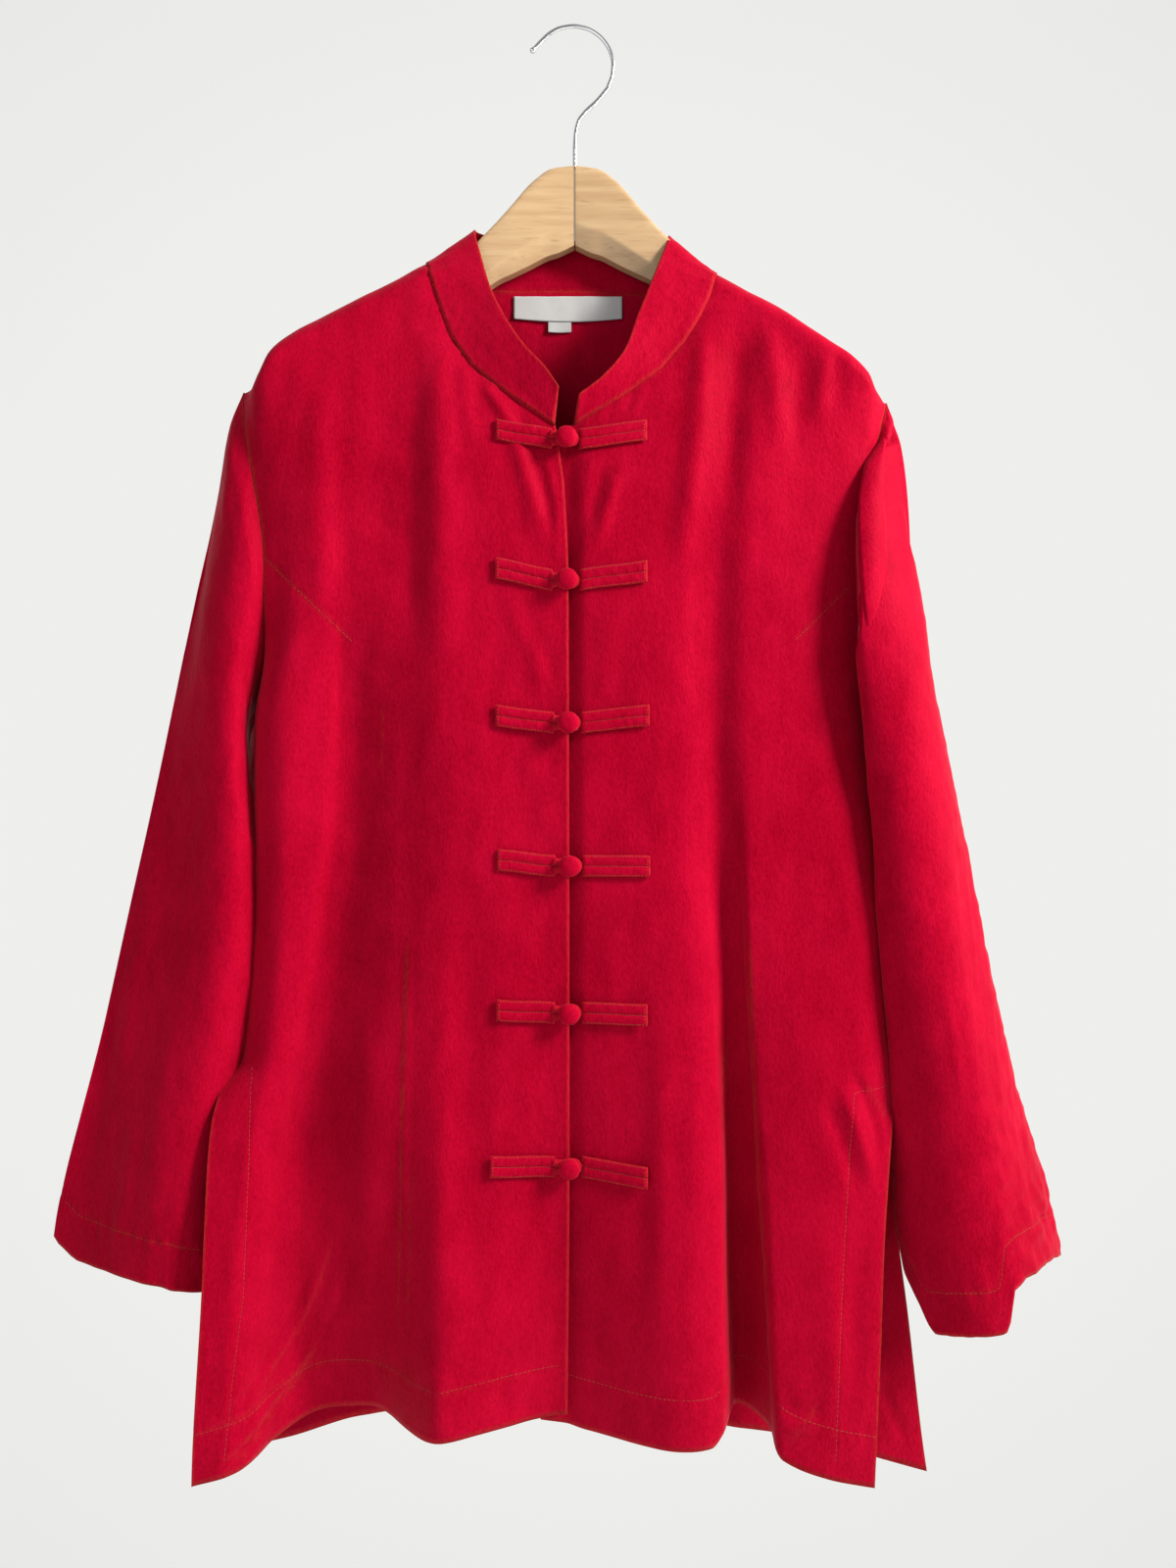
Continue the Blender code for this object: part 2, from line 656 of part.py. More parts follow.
def sleeve_point(side, u, s):
    """Mid-surface of a sleeve: u round from its outer edge by the front, s from armhole to cuff."""
    out = -1 if side == "right" else 1
    ring = curves_of(SLEEVE_COLUMNS, SLEEVE[side])
    is_front = u <= 0.5
    t = armhole_share(np.where(is_front, 2 * u, 2 - 2 * u))

    def ring_point(share):
        x = blend(ring["outer_x"](share), ring["inner_x"](share), t)
        z = blend(ring["outer_z"](share), ring["inner_z"](share), t)
        y = blend(ring["outer_y"](share), ring["inner_y"](share), t)
        peak = ring["ridge_share"](share)
        base = blend(ring["outer_y"](share), ring["inner_y"](share), peak)
        front = y + (ring["ridge_y"](share) - base) * hump(t, peak)
        middle = blend(ring["outer_y"](share), ring["inner_y"](share), 0.5)
        back = y + (ring["back_y"](share) - middle) * hump(t, 0.5 + 0 * t, blend(*SLEEVE_SQUARE[side], t))
        z = z - np.where(is_front, ring["droop"](share) * hump(t, DROOP_PEAK + 0 * t), 0)
        cuff = np.interp(t, *(column(CUFF_COLUMNS, CUFF[side], name) for name in CUFF_COLUMNS))
        z = z + np.where(is_front, cuff * smooth((share - CUFF_SHAPE_STARTS) / (1 - CUFF_SHAPE_STARTS)), 0)
        return x, np.where(is_front, front, back), z

    x, y, z = ring_point(s)
    x_start, y_start, _ = ring_point(0 * s)
    front_arm = armhole_point(side, "front", t)
    back_arm = armhole_point(side, "back", t)
    x_arm = np.where(is_front, front_arm[0], back_arm[0])
    y_arm = np.where(is_front, front_arm[1], back_arm[1])
    clear = SEAM_GAP + 2 * ROOM + SLEEVE_STANDOFF * EDGES[side]["round"](front_arm[2])
    x = x + (x_arm - x_start) * (1 - smooth(s / LEAVES_ARMHOLE))
    x = x + out * (clear - (clear + SLEEVE_TRIM) * smooth(s / TRIM_FULL) * (1 - t))
    y = y + (y_arm - y_start) * (1 - smooth(s / LEAVES_DEPTH))
    come = smooth((s - LAP_STARTS) / (LAP_FULL - LAP_STARTS))
    go = smooth((s - LAP_FALLS) / (LEAVES_ARMHOLE - LAP_FALLS))
    x = x + np.where(is_front, SLEEVE_LAP[side] * come * (1 - go) * hump(t, LAP_PEAK, LAP_SQUARE), 0)
    return np.stack([x, y, z], axis=1)


def panel_at(panel, x, z):
    """Depth of a front's or the back's mid-surface at a place away from its edges."""
    x = np.atleast_1d(np.asarray(x, float))
    z = np.atleast_1d(np.asarray(z, float))
    z_top = SEAM_OVER_WOOD["z"](x)
    if panel != "back":
        z_top = np.minimum(z_top, SEAM_OVER_WOOD["z"](NECK_X[panel]))
    return depth_under_seam(panel, x, z, z_top)


def collar_seam():
    """The neckline's points in turn: up the right front, across the back and down the left front."""
    neck_rows = np.arange(NECK_ROW, ROWS + 1)
    line = []
    for side in ("right", "left"):
        z = inner_height(neck_rows, 0, side)
        x = INNERS[side](z)
        line.append(np.stack([x, panel_at(side, x, z), z], axis=1))
    x, z = (column(BACK_NECK_COLUMNS, BACK_NECK, name) for name in BACK_NECK_COLUMNS)
    back = np.stack([x, panel_at("back", x, z), z], axis=1)
    back[0] = (line[0][-1] + back[0]) / 2
    back[-1] = (line[1][-1] + back[-1]) / 2
    return np.concatenate([line[0][:-1], back, line[1][-2::-1]])


def collar_point(u, v):
    """Mid-surface of the collar: u along it from the right front end, v from the seam to the top edge."""
    seam = collar_seam()
    place = np.arange(len(seam)) / (len(seam) - 1)
    edge = curves_of(COLLAR_COLUMNS, COLLAR)
    low = np.stack([np.interp(u, place, seam[:, i]) for i in range(3)], axis=1)
    high = np.stack([edge[name](u) for name in ("top_x", "top_y", "top_z")], axis=1)
    up = high - low
    height = np.linalg.norm(up, axis=1, keepdims=True)
    start = (SEAM_GAP + ROOM) / height
    return low + up * (start + (1 - start) * v[:, None])


def material(name, colour, roughness, metallic=0.0, sheen=0.0):
    made = bpy.data.materials.new(name)
    made.use_nodes = True
    shader = made.node_tree.nodes["Principled BSDF"]
    shader.inputs["Base Color"].default_value = colour
    shader.inputs["Roughness"].default_value = roughness
    shader.inputs["Metallic"].default_value = metallic
    shader.inputs["Sheen Weight"].default_value = sheen
    made.diffuse_color = colour
    return made


def clear_scene():
    for obj in list(bpy.data.objects):
        bpy.data.objects.remove(obj, do_unlink=True)


def place(name, data, finish):
    obj = bpy.data.objects.new(name, data)
    data.materials.append(finish)
    bpy.data.collections["mandarin_collar_shirt"].objects.link(obj)
    return obj


def grid_mesh(name, point, across, up, closed=False):
    """A grid of across by up faces whose points a function places from its shares u and v."""
    bm = bmesh.new()
    bmesh.ops.create_grid(bm, x_segments=across, y_segments=up, size=0.5)
    bm.verts.ensure_lookup_table()
    u = np.array([vert.co.x + 0.5 for vert in bm.verts])
    v = np.array([vert.co.y + 0.5 for vert in bm.verts])
    points = point(np.clip(u, 0, 1), np.clip(v, 0, 1))
    for vert, xyz in zip(bm.verts, points):
        vert.co = [value * MM for value in xyz]
    if closed:
        bmesh.ops.remove_doubles(bm, verts=bm.verts, dist=1e-6)
    bmesh.ops.recalc_face_normals(bm, faces=bm.faces)
    mesh = bpy.data.meshes.new(name)
    bm.to_mesh(mesh)
    bm.free()
    mesh.shade_smooth()
    return mesh


def cloth(name, point, across, up, finish, wall=CLOTH_WALL, closed=False):
    obj = place(name, grid_mesh(name, point, across, up, closed), finish)
    solid = obj.modifiers.new("wall", "SOLIDIFY")
    solid.thickness = wall * MM
    solid.offset = 0
    return obj


def make_front(side, finish):
    def point(u, v):
        return front_point(side, u, v * ROWS)

    cloth(f"front_{side}", point, ACROSS["front"], ROWS, finish)


def make_back(finish):
    def point(u, v):
        return back_point(u, v * ROWS)

    cloth("back", point, ACROSS["back"], ROWS, finish)


def make_sleeve(side, finish):
    def point(u, v):
        return sleeve_point(side, u, v**RING_CROWDING)

    around = 2 * (ROWS - UNDERARM_ROW)
    cloth(f"sleeve_{side}", point, around, ACROSS["sleeve"], finish, closed=True)


def make_collar(finish):
    around = len(collar_seam()) - 1
    cloth("collar", collar_point, around, ACROSS["collar"], finish, wall=COLLAR_WALL)


def strip_profile(v):
    """Two cords side by side, sewn down along the middle and both edges."""
    return STRIP_ROUND * np.abs(np.sin(2 * np.pi * v))


def make_strip(number, side, end, near, finish):
    lift = CLOTH_WALL / 2 + SEAM_GAP + ROOM + STRIP_WALL / 2

    def point(u, v):
        x = blend(end[0], near[0], u)
        z = blend(end[1], near[1], u) + STRIP_WIDTH * (v - 0.5)
        y = panel_at(side, x, z) - lift - strip_profile(v)
        return np.stack([x, y, z], axis=1)

    cloth(f"frog_strip_{side}_{number}", point, *STRIP_FACES, finish, wall=STRIP_WALL)


def make_loop(number, start_x, centre, y, finish):
    """Cord loop from the right strip's end round the button's stem."""
    curve = bpy.data.curves.new(f"frog_loop_{number}", "CURVE")
    curve.dimensions = "3D"
    curve.bevel_depth = LOOP_RADIUS * MM
    curve.bevel_resolution = 1
    curve.use_fill_caps = True
    points = [(start_x, -LOOP_HALF_WIDTH)]
    for step in range(LOOP_STEPS + 1):
        angle = math.pi * (step / LOOP_STEPS - 0.5)
        points.append((
            centre[0] + (LOOP_REACH - LOOP_HALF_WIDTH) + LOOP_HALF_WIDTH * math.cos(angle),
            LOOP_HALF_WIDTH * math.sin(angle),
        ))
    points.append((start_x, LOOP_HALF_WIDTH))
    spline = curve.splines.new("POLY")
    spline.points.add(len(points) - 1)
    for target, (x, z) in zip(spline.points, points):
        target.co = (x * MM, y * MM, (centre[1] + z) * MM, 1)
    place(f"frog_loop_{number}", curve, finish)


def make_button(number, centre, y, finish):
    """Cloth-covered domed button: a turned profile with a stem behind it."""
    back = -BUTTON_HALF_DEPTH
    stem = back - 2 * LOOP_RADIUS - SEAM_GAP + BUTTON_SINK
    profile = [(0.0, BUTTON_HALF_DEPTH)]
    for degrees in BUTTON_PROFILE:
        angle = math.radians(degrees)
        profile.append((BUTTON_RADIUS * math.cos(angle), BUTTON_HALF_DEPTH * math.sin(angle)))
    profile += [(BUTTON_STEM_RADIUS, back), (BUTTON_STEM_RADIUS, stem), (0.0, stem)]
    mesh = bpy.data.meshes.new(f"button_{number}")
    verts = [(r * MM, 0.0, h * MM) for r, h in profile]
    mesh.from_pydata(verts, [(i, i + 1) for i in range(len(verts) - 1)], [])
    obj = place(f"button_{number}", mesh, finish)
    screw = obj.modifiers.new("turn", "SCREW")
    screw.steps = BUTTON_SIDES
    screw.render_steps = BUTTON_SIDES
    screw.use_merge_vertices = True
    screw.merge_threshold = 0.00001
    screw.use_smooth_shade = True
    obj.rotation_euler = (math.pi / 2, 0, 0)
    obj.location = (centre[0] * MM, y * MM, centre[1] * MM)


def make_frogs(finish):
    for number, row in enumerate(FROGS, start=1):
        right_end, button, left_end = (row[FROG_COLUMNS.index(name)] for name in FROG_COLUMNS)
        near_right = (button[0] - STRIP_TO_BUTTON["right"], button[1])
        near_left = (button[0] + STRIP_TO_BUTTON["left"], button[1])
        make_strip(number, "right", right_end, near_right, finish)
        make_strip(number, "left", left_end, near_left, finish)
        skin = float(panel_at("right", button[0], button[1])[0]) - CLOTH_WALL / 2
        loop_y = skin - SEAM_GAP - ROOM - LOOP_RADIUS
        make_loop(number, near_right[0] + SEAM_GAP, button, loop_y, finish)
        button_y = loop_y - LOOP_RADIUS - SEAM_GAP - BUTTON_HALF_DEPTH + BUTTON_SINK
        make_button(number, button, button_y, finish)


def make_label(name, box, finish):
    lift = CLOTH_WALL / 2 + SEAM_GAP + LABEL_WALL / 2

    def point(u, v):
        x = blend(box["left"], box["right"], u)
        z = blend(box["bottom"], box["top"], v)
        return np.stack([x, panel_at("back", x, z) - lift, z], axis=1)

    cloth(name, point, *LABEL_FACES, finish, wall=LABEL_WALL)


def make_arm(side, finish):
    """One half of the hanger: rounded sections along a curve that bends forward."""
    out = -1 if side == "right" else 1
    end = ARM_END[side]
    arm = curves_of(ARM_COLUMNS, ARM)

    def point(u, v):
        distance = blend(SEAM_GAP / 2, end, 1 - (1 - v) ** ARM_CROWDING)
        x = out * distance
        under_seam = SEAM_OVER_WOOD["z"](x) - ARM_UNDER_SEAM
        follow = smooth((distance - ARM_MEETS_SEAM[0]) / (ARM_MEETS_SEAM[1] - ARM_MEETS_SEAM[0]))
        top = blend(arm["top"](distance), under_seam, follow)
        shrink = turn((end - distance) / ARM_END_ROUND + ARM_END_SHARE)
        half_height = arm["height"](distance) / 2
        half_thick = arm["thickness"](distance) / 2 * shrink
        angle = 2 * np.pi * u
        across = np.sign(np.cos(angle)) * np.abs(np.cos(angle)) ** ARM_SIDE_POWER
        along = np.sign(np.sin(angle)) * np.abs(np.sin(angle)) ** ARM_TOP_POWER
        y = SEAM_OVER_WOOD["y"](x) + half_thick * across
        z = top - half_height + half_height * shrink * along
        return np.stack([x, y, z], axis=1)

    mesh = grid_mesh(f"hanger_arm_{side}", point, ARM_SIDES, ARM_SECTIONS, closed=True)
    bm = bmesh.new()
    bm.from_mesh(mesh)
    bmesh.ops.holes_fill(bm, edges=[edge for edge in bm.edges if edge.is_boundary], sides=0)
    bmesh.ops.recalc_face_normals(bm, faces=bm.faces)
    bm.to_mesh(mesh)
    bm.free()
    mesh.set_sharp_from_angle(angle=math.radians(SHARP_DEGREES))
    place(f"hanger_arm_{side}", mesh, finish)


def hook_path():
    """Points of the hook's wire, from its tip over the arc and down the shank, as x and z."""
    top = HOOK_WIRE / 2
    centre_z = top - HOOK_RADIUS
    points = [HOOK_TIP]
    for degrees in np.arange(*HOOK_ARC):
        angle = math.radians(degrees)
        points.append((
            HOOK_CENTRE_X + HOOK_RADIUS * math.cos(angle),
            centre_z + HOOK_RADIUS * math.sin(angle),
        ))
    points += HOOK_SHANK
    points.append((0.0, WOOD_TOP_Z + 2 * SEAM_GAP))
    path = np.array(points)
    steps = np.linalg.norm(np.diff(path, axis=0), axis=1)
    length = np.concatenate([[0], np.cumsum(steps)])
    place_at = np.linspace(0, length[-1], HOOK_POINTS)
    x = curve_through(length, path[:, 0])(place_at)
    z = curve_through(length, path[:, 1])(place_at)
    return x, z


def make_hook(finish):
    curve = bpy.data.curves.new("hanger_hook", "CURVE")
    curve.dimensions = "3D"
    curve.bevel_depth = HOOK_WIRE / 2 * MM
    curve.bevel_resolution = 2
    curve.use_fill_caps = True
    x, z = hook_path()
    spline = curve.splines.new("POLY")
    spline.points.add(len(x) - 1)
    for i, target in enumerate(spline.points):
        target.co = (x[i] * MM, 0, z[i] * MM, 1)
    for i, share in enumerate(HOOK_BALL):
        spline.points[i].radius = share
    place("hanger_hook", curve, finish)


def main():
    clear_scene()
    collection = bpy.data.collections.new("mandarin_collar_shirt")
    bpy.context.scene.collection.children.link(collection)
    silk = material("red_silk", SILK, 0.55, sheen=0.4)
    trim = material("red_silk_trim", SILK_LIGHT, 0.55, sheen=0.4)
    ivory = material("ivory_satin", IVORY, 0.45)
    wood = material("beech", BEECH, 0.5)
    chrome = material("chromed_steel", CHROME, 0.18, metallic=1.0)
    make_back(silk)
    for side in ("right", "left"):
        make_front(side, silk)
        make_sleeve(side, silk)
        make_arm(side, wood)
    make_collar(silk)
    make_frogs(trim)
    make_label("neck_label", LABEL, ivory)
    make_label("size_tab", SIZE_TAB, ivory)
    make_hook(chrome)


main()
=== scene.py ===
"""Looks of the mandarin collar shirt of red silk on its wooden hanger.

The cloth pieces repeat the part's surfaces from the same named sizes, more finely, and add the smaller
creases, seams, hems and stitches. Lengths are millimetres, and MM turns them into metres. Right and left
are the wearer's.
"""

import math

import bmesh
import bpy
import numpy as np
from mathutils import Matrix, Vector


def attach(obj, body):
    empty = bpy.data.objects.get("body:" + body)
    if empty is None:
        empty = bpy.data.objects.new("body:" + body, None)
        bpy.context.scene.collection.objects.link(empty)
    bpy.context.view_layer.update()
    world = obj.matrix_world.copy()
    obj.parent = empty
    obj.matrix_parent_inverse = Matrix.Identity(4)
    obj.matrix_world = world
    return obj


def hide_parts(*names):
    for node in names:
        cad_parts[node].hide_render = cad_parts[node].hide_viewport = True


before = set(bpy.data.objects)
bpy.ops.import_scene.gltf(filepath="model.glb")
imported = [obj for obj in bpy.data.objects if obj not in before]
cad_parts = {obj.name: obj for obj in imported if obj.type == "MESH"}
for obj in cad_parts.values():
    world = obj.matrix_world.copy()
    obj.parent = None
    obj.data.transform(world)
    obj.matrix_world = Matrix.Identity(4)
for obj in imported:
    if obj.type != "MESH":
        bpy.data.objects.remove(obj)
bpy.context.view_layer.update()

MM = 0.001
CLOTH_WALL = 1.2
LABEL_WALL = 1.0
SEAM_GAP = 0.3
ROOM = 0.4
# Which way each side lies along x, and which way along y the front and the back of the shirt look.
WAY_OUT = {"right": -1, "left": 1}
TO_FRONT = -1
TO_BACK = 1

# Side edge of the body on each side, from the shoulder tip down to the hem.
# The front and back edges part round the armhole and again below the top of the side slit.
# round is 1 where the cloth turns the corner to the other panel and 0 where its edge lies flat.
EDGE_COLUMNS = ("z", "front_x", "front_y", "back_x", "back_y", "round", "turn")
EDGE = {
    "right": (
        (-279, -238.8, -22.4, -238.8, -21.6, 0, 16),
        (-308, -234.6, -33, -235.0, -6, 0, 20),
        (-345, -227.4, -38, -229.0, 3, 0, 30),
        (-400, -220.1, -38, -224.0, 7, 0, 30),
        (-462, -223.1, -26, -226.0, 3, 0.3, 30),
        (-514, -232.6, -8, -232.6, -8, 1, 30),
        (-590, -234.8, -8, -234.8, -8, 1, 30),
        (-676, -237.8, -9, -237.8, -9, 1, 34),
        (-757, -241.0, -12.8, -241.0, -11.4, 1, 34),
        (-781, -252.0, -38, -244.0, -5, 0.3, 34),
        (-803, -256.0, -46, -247.0, -3, 0, 34),
        (-836, -257.8, -50, -252.0, 0, 0, 34),
        (-904, -258.7, -57, -261.0, 2, 0, 34),
        (-1046, -263.9, -64, -276.0, 6, 0, 34),
        (-1059, -264.0, -64, -277.0, 6, 0, 34),
    ),
    "left": (
        (-286, 225.5, -20.8, 225.5, -19.2, 0, 16),
        (-307, 219.8, -26, 221.0, -6, 0, 20),
        (-342, 214.4, -28, 217.0, 3, 0, 35),
        (-399, 213.5, -26, 216.0, 7, 0, 50),
        (-462, 214.4, -20, 217.0, 3, 0.3, 60),
        (-514, 216.5, -8, 216.5, -8, 1, 60),
        (-563, 221.5, -8, 221.5, -8, 1, 52),
        (-600, 226.5, -8, 226.5, -8, 1, 48),
        (-673, 232.0, -9, 232.0, -9, 1, 40),
        (-745, 233.5, -11.8, 233.5, -11.2, 1, 36),
        (-778, 231.5, -14.8, 231.5, -13.2, 1, 34),
        (-802, 225.6, -40, 234.0, -4, 0.3, 34),
        (-834, 221.5, -48, 236.0, -2, 0, 34),
        (-889, 216.6, -54, 239.5, 0, 0, 34),
        (-955, 213.3, -58, 248.0, 2, 0, 34),
        (-1048, 208.0, -62, 259.0, 4, 0, 34),
        (-1074, 207.0, -62, 262.7, 4, 0, 34),
    ),
}

# Rows up a front and the back, from the hem. Both panels share them.
# Heights at the side edge are those of the slit's top and the underarm, and of the matching
# places on the centre front, up to the corner where the neckline starts.
ROWS = 24
HEM_ROWS = 8
# Above 1, rows crowd towards the shoulder tip, and a front's columns towards its side edge at the hem.
TIP_CROWDING = 1.25
SIDE_CROWDING = 1.5
SLIT_ROW = 6
UNDERARM_ROW = 12
NECK_ROW = 15
UNDERARM_Z = -514
SHOULDER_TIP_Z = {"right": -279, "left": -286}
SLIT_TOP_Z = {"right": -757, "left": -778}
CENTRE_AT_SLIT_Z = {"right": -738, "left": -752}
CENTRE_AT_UNDERARM_Z = {"right": -480, "left": -480}
NECK_CORNER_Z = {"right": -305, "left": -304}

# Inner edge of each front: up the centre front to the neck, then along the neckline to the shoulder.
INNER_COLUMNS = ("z", "x")
INNER = {
    "right": (
        (-1007, -4.8),
        (-834, -3.4),
        (-416, -4.1),
        (-353, -6.9),
        (-321, -11.0),
        (-305, -13.6),
        (-288, -38.9),
        (-265, -68.7),
        (-244, -85.5),
        (-212, -97.9),
        (-188, -105.4),
        (-178.5, -108.1),
    ),
    "left": (
        (-1013, -24.0),
        (-330, -25.0),
        (-312, -18.0),
        (-304, -0.6),
        (-290, 23.0),
        (-276, 44.7),
        (-257, 67.4),
        (-231, 85.6),
        (-208, 97.2),
        (-186, 103.4),
    ),
}

# Lower edge of each panel.
HEM_COLUMNS = ("x", "z")
HEM = {
    "right": (
        (-263.9, -1046),
        (-232, -1038),
        (-210, -1027),
        (-175, -1013),
        (-149, -1011),
        (-106, -1016),
        (-68, -1012),
        (-4.8, -1007),
    ),
    "left": (
        (-24, -1013),
        (10, -1018),
        (69, -1021),
        (95, -1020),
        (109, -1008),
        (132, -1013),
        (145, -1030),
        (173, -1040),
        (208, -1048),
    ),
    "back": (
        (-277, -1059),
        (-220, -1048),
        (-160, -1033),
        (-40, -1027),
        (60, -1030),
        (122, -1035),
        (200, -1056),
        (262.7, -1074),
    ),
}

# Shoulder seams, which lie over the hanger's arms, from the tip to the neck.
SHOULDER_COLUMNS = ("x", "z", "y")
SHOULDER = {
    "right": (
        (-238.8, -279.0, -22),
        (-232.0, -276.0, -25),
        (-224.8, -264.8, -28),
        (-217.0, -250.5, -29),
        (-201.4, -235.6, -25),
        (-183.8, -224.0, -20),
        (-155.0, -206.0, -13),
        (-130.0, -191.5, -8.5),
        (-108.1, -178.5, -6),
    ),
    "left": (
        (225.5, -286.0, -20),
        (216.8, -277.0, -26),
        (209.7, -265.0, -29),
        (199.0, -254.0, -29),
        (185.4, -243.0, -25),
        (167.5, -229.0, -20),
        (149.0, -214.0, -14),
        (126.0, -200.0, -9),
        (103.4, -186.0, -6),
    ),
}
# The same line across the neck, inside the collar.
OVER_NECK = ((-80.0, -170.0, -2), (0.0, -168.0, 0), (80.0, -174.0, -2))
NECK_X = {"right": -108.1, "left": 103.4}
BACK_NECK_COLUMNS = ("x", "z")
BACK_NECK = (
    (-108.1, -178.5),
    (-92.0, -187.0),
    (-74.0, -190.5),
    (-40.0, -191.5),
    (0.0, -191.0),
    (40.0, -193.0),
    (70.0, -193.5),
    (88.0, -192.0),
    (103.4, -186.0),
)

# How the cloth leaves the shoulder seam: first over the wood's edge, then out to the hanging plane.
OVER_WOOD = 11.0
OVER_WOOD_TURN = 14.0
FALL_COLUMNS = ("distance", "front", "back")
FALL = (
    (0, 200, 40),
    (100, 200, 45),
    (160, 110, 70),
    (200, 60, 80),
    (240, 50, 80),
)

# Depth of the hanging cloth: each fold is a pair of columns, its place across and its depth.
# A row is one height. Depth runs smoothly from fold to fold.
FOLD_NAMES = {
    "right": ("side", "trough", "floor", "crest", "centre"),
    "left": ("lap", "front", "swell", "brink", "valley", "plane", "far"),
    "back": ("right_side", "right_dip", "right_crest", "dip", "left_crest", "left_side"),
}
FOLDS = {
    "right": (
        (-180, -200, -40, -165, -40, -140, -40, -100, -40, -8, -40),
        (-300, -195, -43, -160, -41, -130, -41, -95, -44, -8, -42),
        (-400, -190, -46, -158, -41, -128, -41, -92, -45, -8, -42),
        (-460, -196, -46, -157, -38, -126, -40, -92, -45, -8, -42),
        (-563, -205, -43, -158, -32, -125, -39, -92, -45, -8, -42),
        (-678, -214, -41, -168, -29, -128, -38, -90, -46, -8, -42),
        (-764, -222, -42, -184, -27, -134, -37, -90, -48, -8, -42),
        (-850, -236, -50, -196, -27, -140, -33, -90, -54, -8, -42),
        (-945, -244, -58, -196, -24, -145, -26, -90, -63, -8, -42),
        (-1046, -246, -63, -184, -20, -150, -18, -90, -70, -8, -42),
    ),
    "left": (
        (-180, -6, -37, 8, -40, 76, -40, 92, -40, 104, -40, 124, -40, 175, -38),
        (-300, -6, -38, 8, -42, 76, -43, 92, -42, 104, -41, 124, -42, 175, -38),
        (-450, -6, -38, 8, -42, 76, -44, 92, -42, 104, -41, 124, -42, 175, -38),
        (-563, -6, -38, 8, -42, 76, -44, 92, -42, 104, -39, 124, -42, 175, -40),
        (-680, -6, -38, 8, -42, 78, -46, 98, -43, 110, -37, 126, -43, 180, -45),
        (-764, -6, -38, 8, -42, 80, -51, 102, -47, 113, -35, 130, -45, 185, -50),
        (-850, -6, -38, 8, -42, 80, -58, 103, -52, 117, -30, 138, -50, 185, -54),
        (-945, -6, -38, 8, -42, 80, -64, 103, -58, 118, -26, 141, -56, 185, -60),
        (-1048, -6, -38, 8, -42, 80, -69, 103, -62, 118, -24, 146, -62, 190, -66),
    ),
    "back": (
        (-190, -190, 8, -120, 10, -40, 12, 50, 12, 120, 10, 190, 8),
        (-450, -190, 9, -120, 10, -40, 11, 50, 10, 120, 10, 190, 8),
        (-764, -195, 6, -125, 10, -42, 5, 50, 10, 120, 3, 190, 7),
        (-1074, -200, 0, -130, 10, -45, -2, 50, 10, 122, -10, 195, 4),
    ),
}

# Sleeves: a row is one ring, its share of the length from the armhole to the cuff.
# outer and inner are the ring's two edges as seen from the front.
SLEEVE_COLUMNS = (
    "share", "outer_x", "outer_z", "outer_y", "inner_x", "inner_z", "inner_y",
    "ridge_share", "ridge_y", "back_y", "droop",
)
SLEEVE = {
    "right": (
        (0.00, -238.8, -279, -22, -232.6, -514, -8, 0.50, -40, 6, 0),
        (0.04, -248.0, -303, -24, -236.0, -529, -9, 0.50, -44, 7, 0),
        (0.12, -258.0, -349, -22, -236.5, -563, -7, 0.52, -45, 8, 0),
        (0.25, -278.0, -432, -18, -236.2, -617, -3, 0.58, -46, 7, 0),
        (0.50, -311.0, -585, -16, -238.0, -720, -3, 0.68, -46, 6, 0),
        (0.60, -324.6, -646, -16, -240.0, -761, -6, 0.69, -46, 5, 0),
        (0.75, -345.0, -738, -16, -252.0, -822, -25, 0.70, -46, 3, 0),
        (0.97, -378.5, -874, -16, -258.5, -913, -29, 0.70, -45, 0, 0),
        (1.00, -381.0, -891, -16, -260.0, -925, -29, 0.70, -45, 0, 0),
    ),
    "left": (
        (0.00, 225.5, -286, -20, 216.5, -514, -8, 0.50, -40, 6, 0),
        (0.015, 228.5, -296, -21, 220.4, -522, -20, 0.46, -46, 6, 0),
        (0.05, 235.5, -316, -22, 211.5, -537, -40, 0.42, -48, 6, 0),
        (0.12, 242.7, -360, -20, 211.0, -561, -40, 0.40, -48, 6, 0),
        (0.25, 249.6, -441, -16, 216.5, -613, -38, 0.42, -48, 5, 0),
        (0.50, 280.0, -596, -12, 222.8, -711, -38, 0.44, -50, 4, 4),
        (0.75, 315.0, -751, -12, 229.0, -810, -32, 0.45, -53, 2, 16),
        (0.97, 354.0, -887, -12, 235.5, -897, -26, 0.52, -58, 0, 38),
        (1.00, 357.5, -906, -12, 236.0, -909, -25, 0.52, -58, 0, 40),
    ),
}

# How far the sleeve starts outside the armhole where the body's cloth turns the corner there.
SLEEVE_STANDOFF = 1.7
# How far the sleeve's outer edge is drawn in below the shoulder, for its wall and its roundness.
SLEEVE_TRIM = 1.6
# How far the droop of the cuff's front lies from its outer edge.
DROOP_PEAK = 0.68
# The cuff's front edge: how far it lies above its plain curve, from its outer edge to its inner one.
CUFF_COLUMNS = ("share", "rise")
CUFF = {
    "right": (
        (0.0, 0.0), (0.03, -4.0), (0.12, -8.5), (0.17, -9.5), (0.3, -7.5), (0.46, -5.0),
        (0.63, -2.2), (0.75, 0.0), (1.0, 0.0),
    ),
    "left": (
        (0.0, 0.0), (0.117, 11.1), (0.23, 18.7), (0.37, 26.4), (0.41, 26.0), (0.437, 24.6),
        (0.455, 2.0), (0.48, -1.4), (0.544, 1.1), (0.63, 3.7), (0.713, 2.7), (0.79, -1.7),
        (0.848, -7.5), (0.875, -6.0), (0.919, -0.7), (0.963, 2.0), (1.0, 0.0),
    ),
}
# Where along the sleeve the cuff's own shape begins.
CUFF_SHAPE_STARTS = 0.8
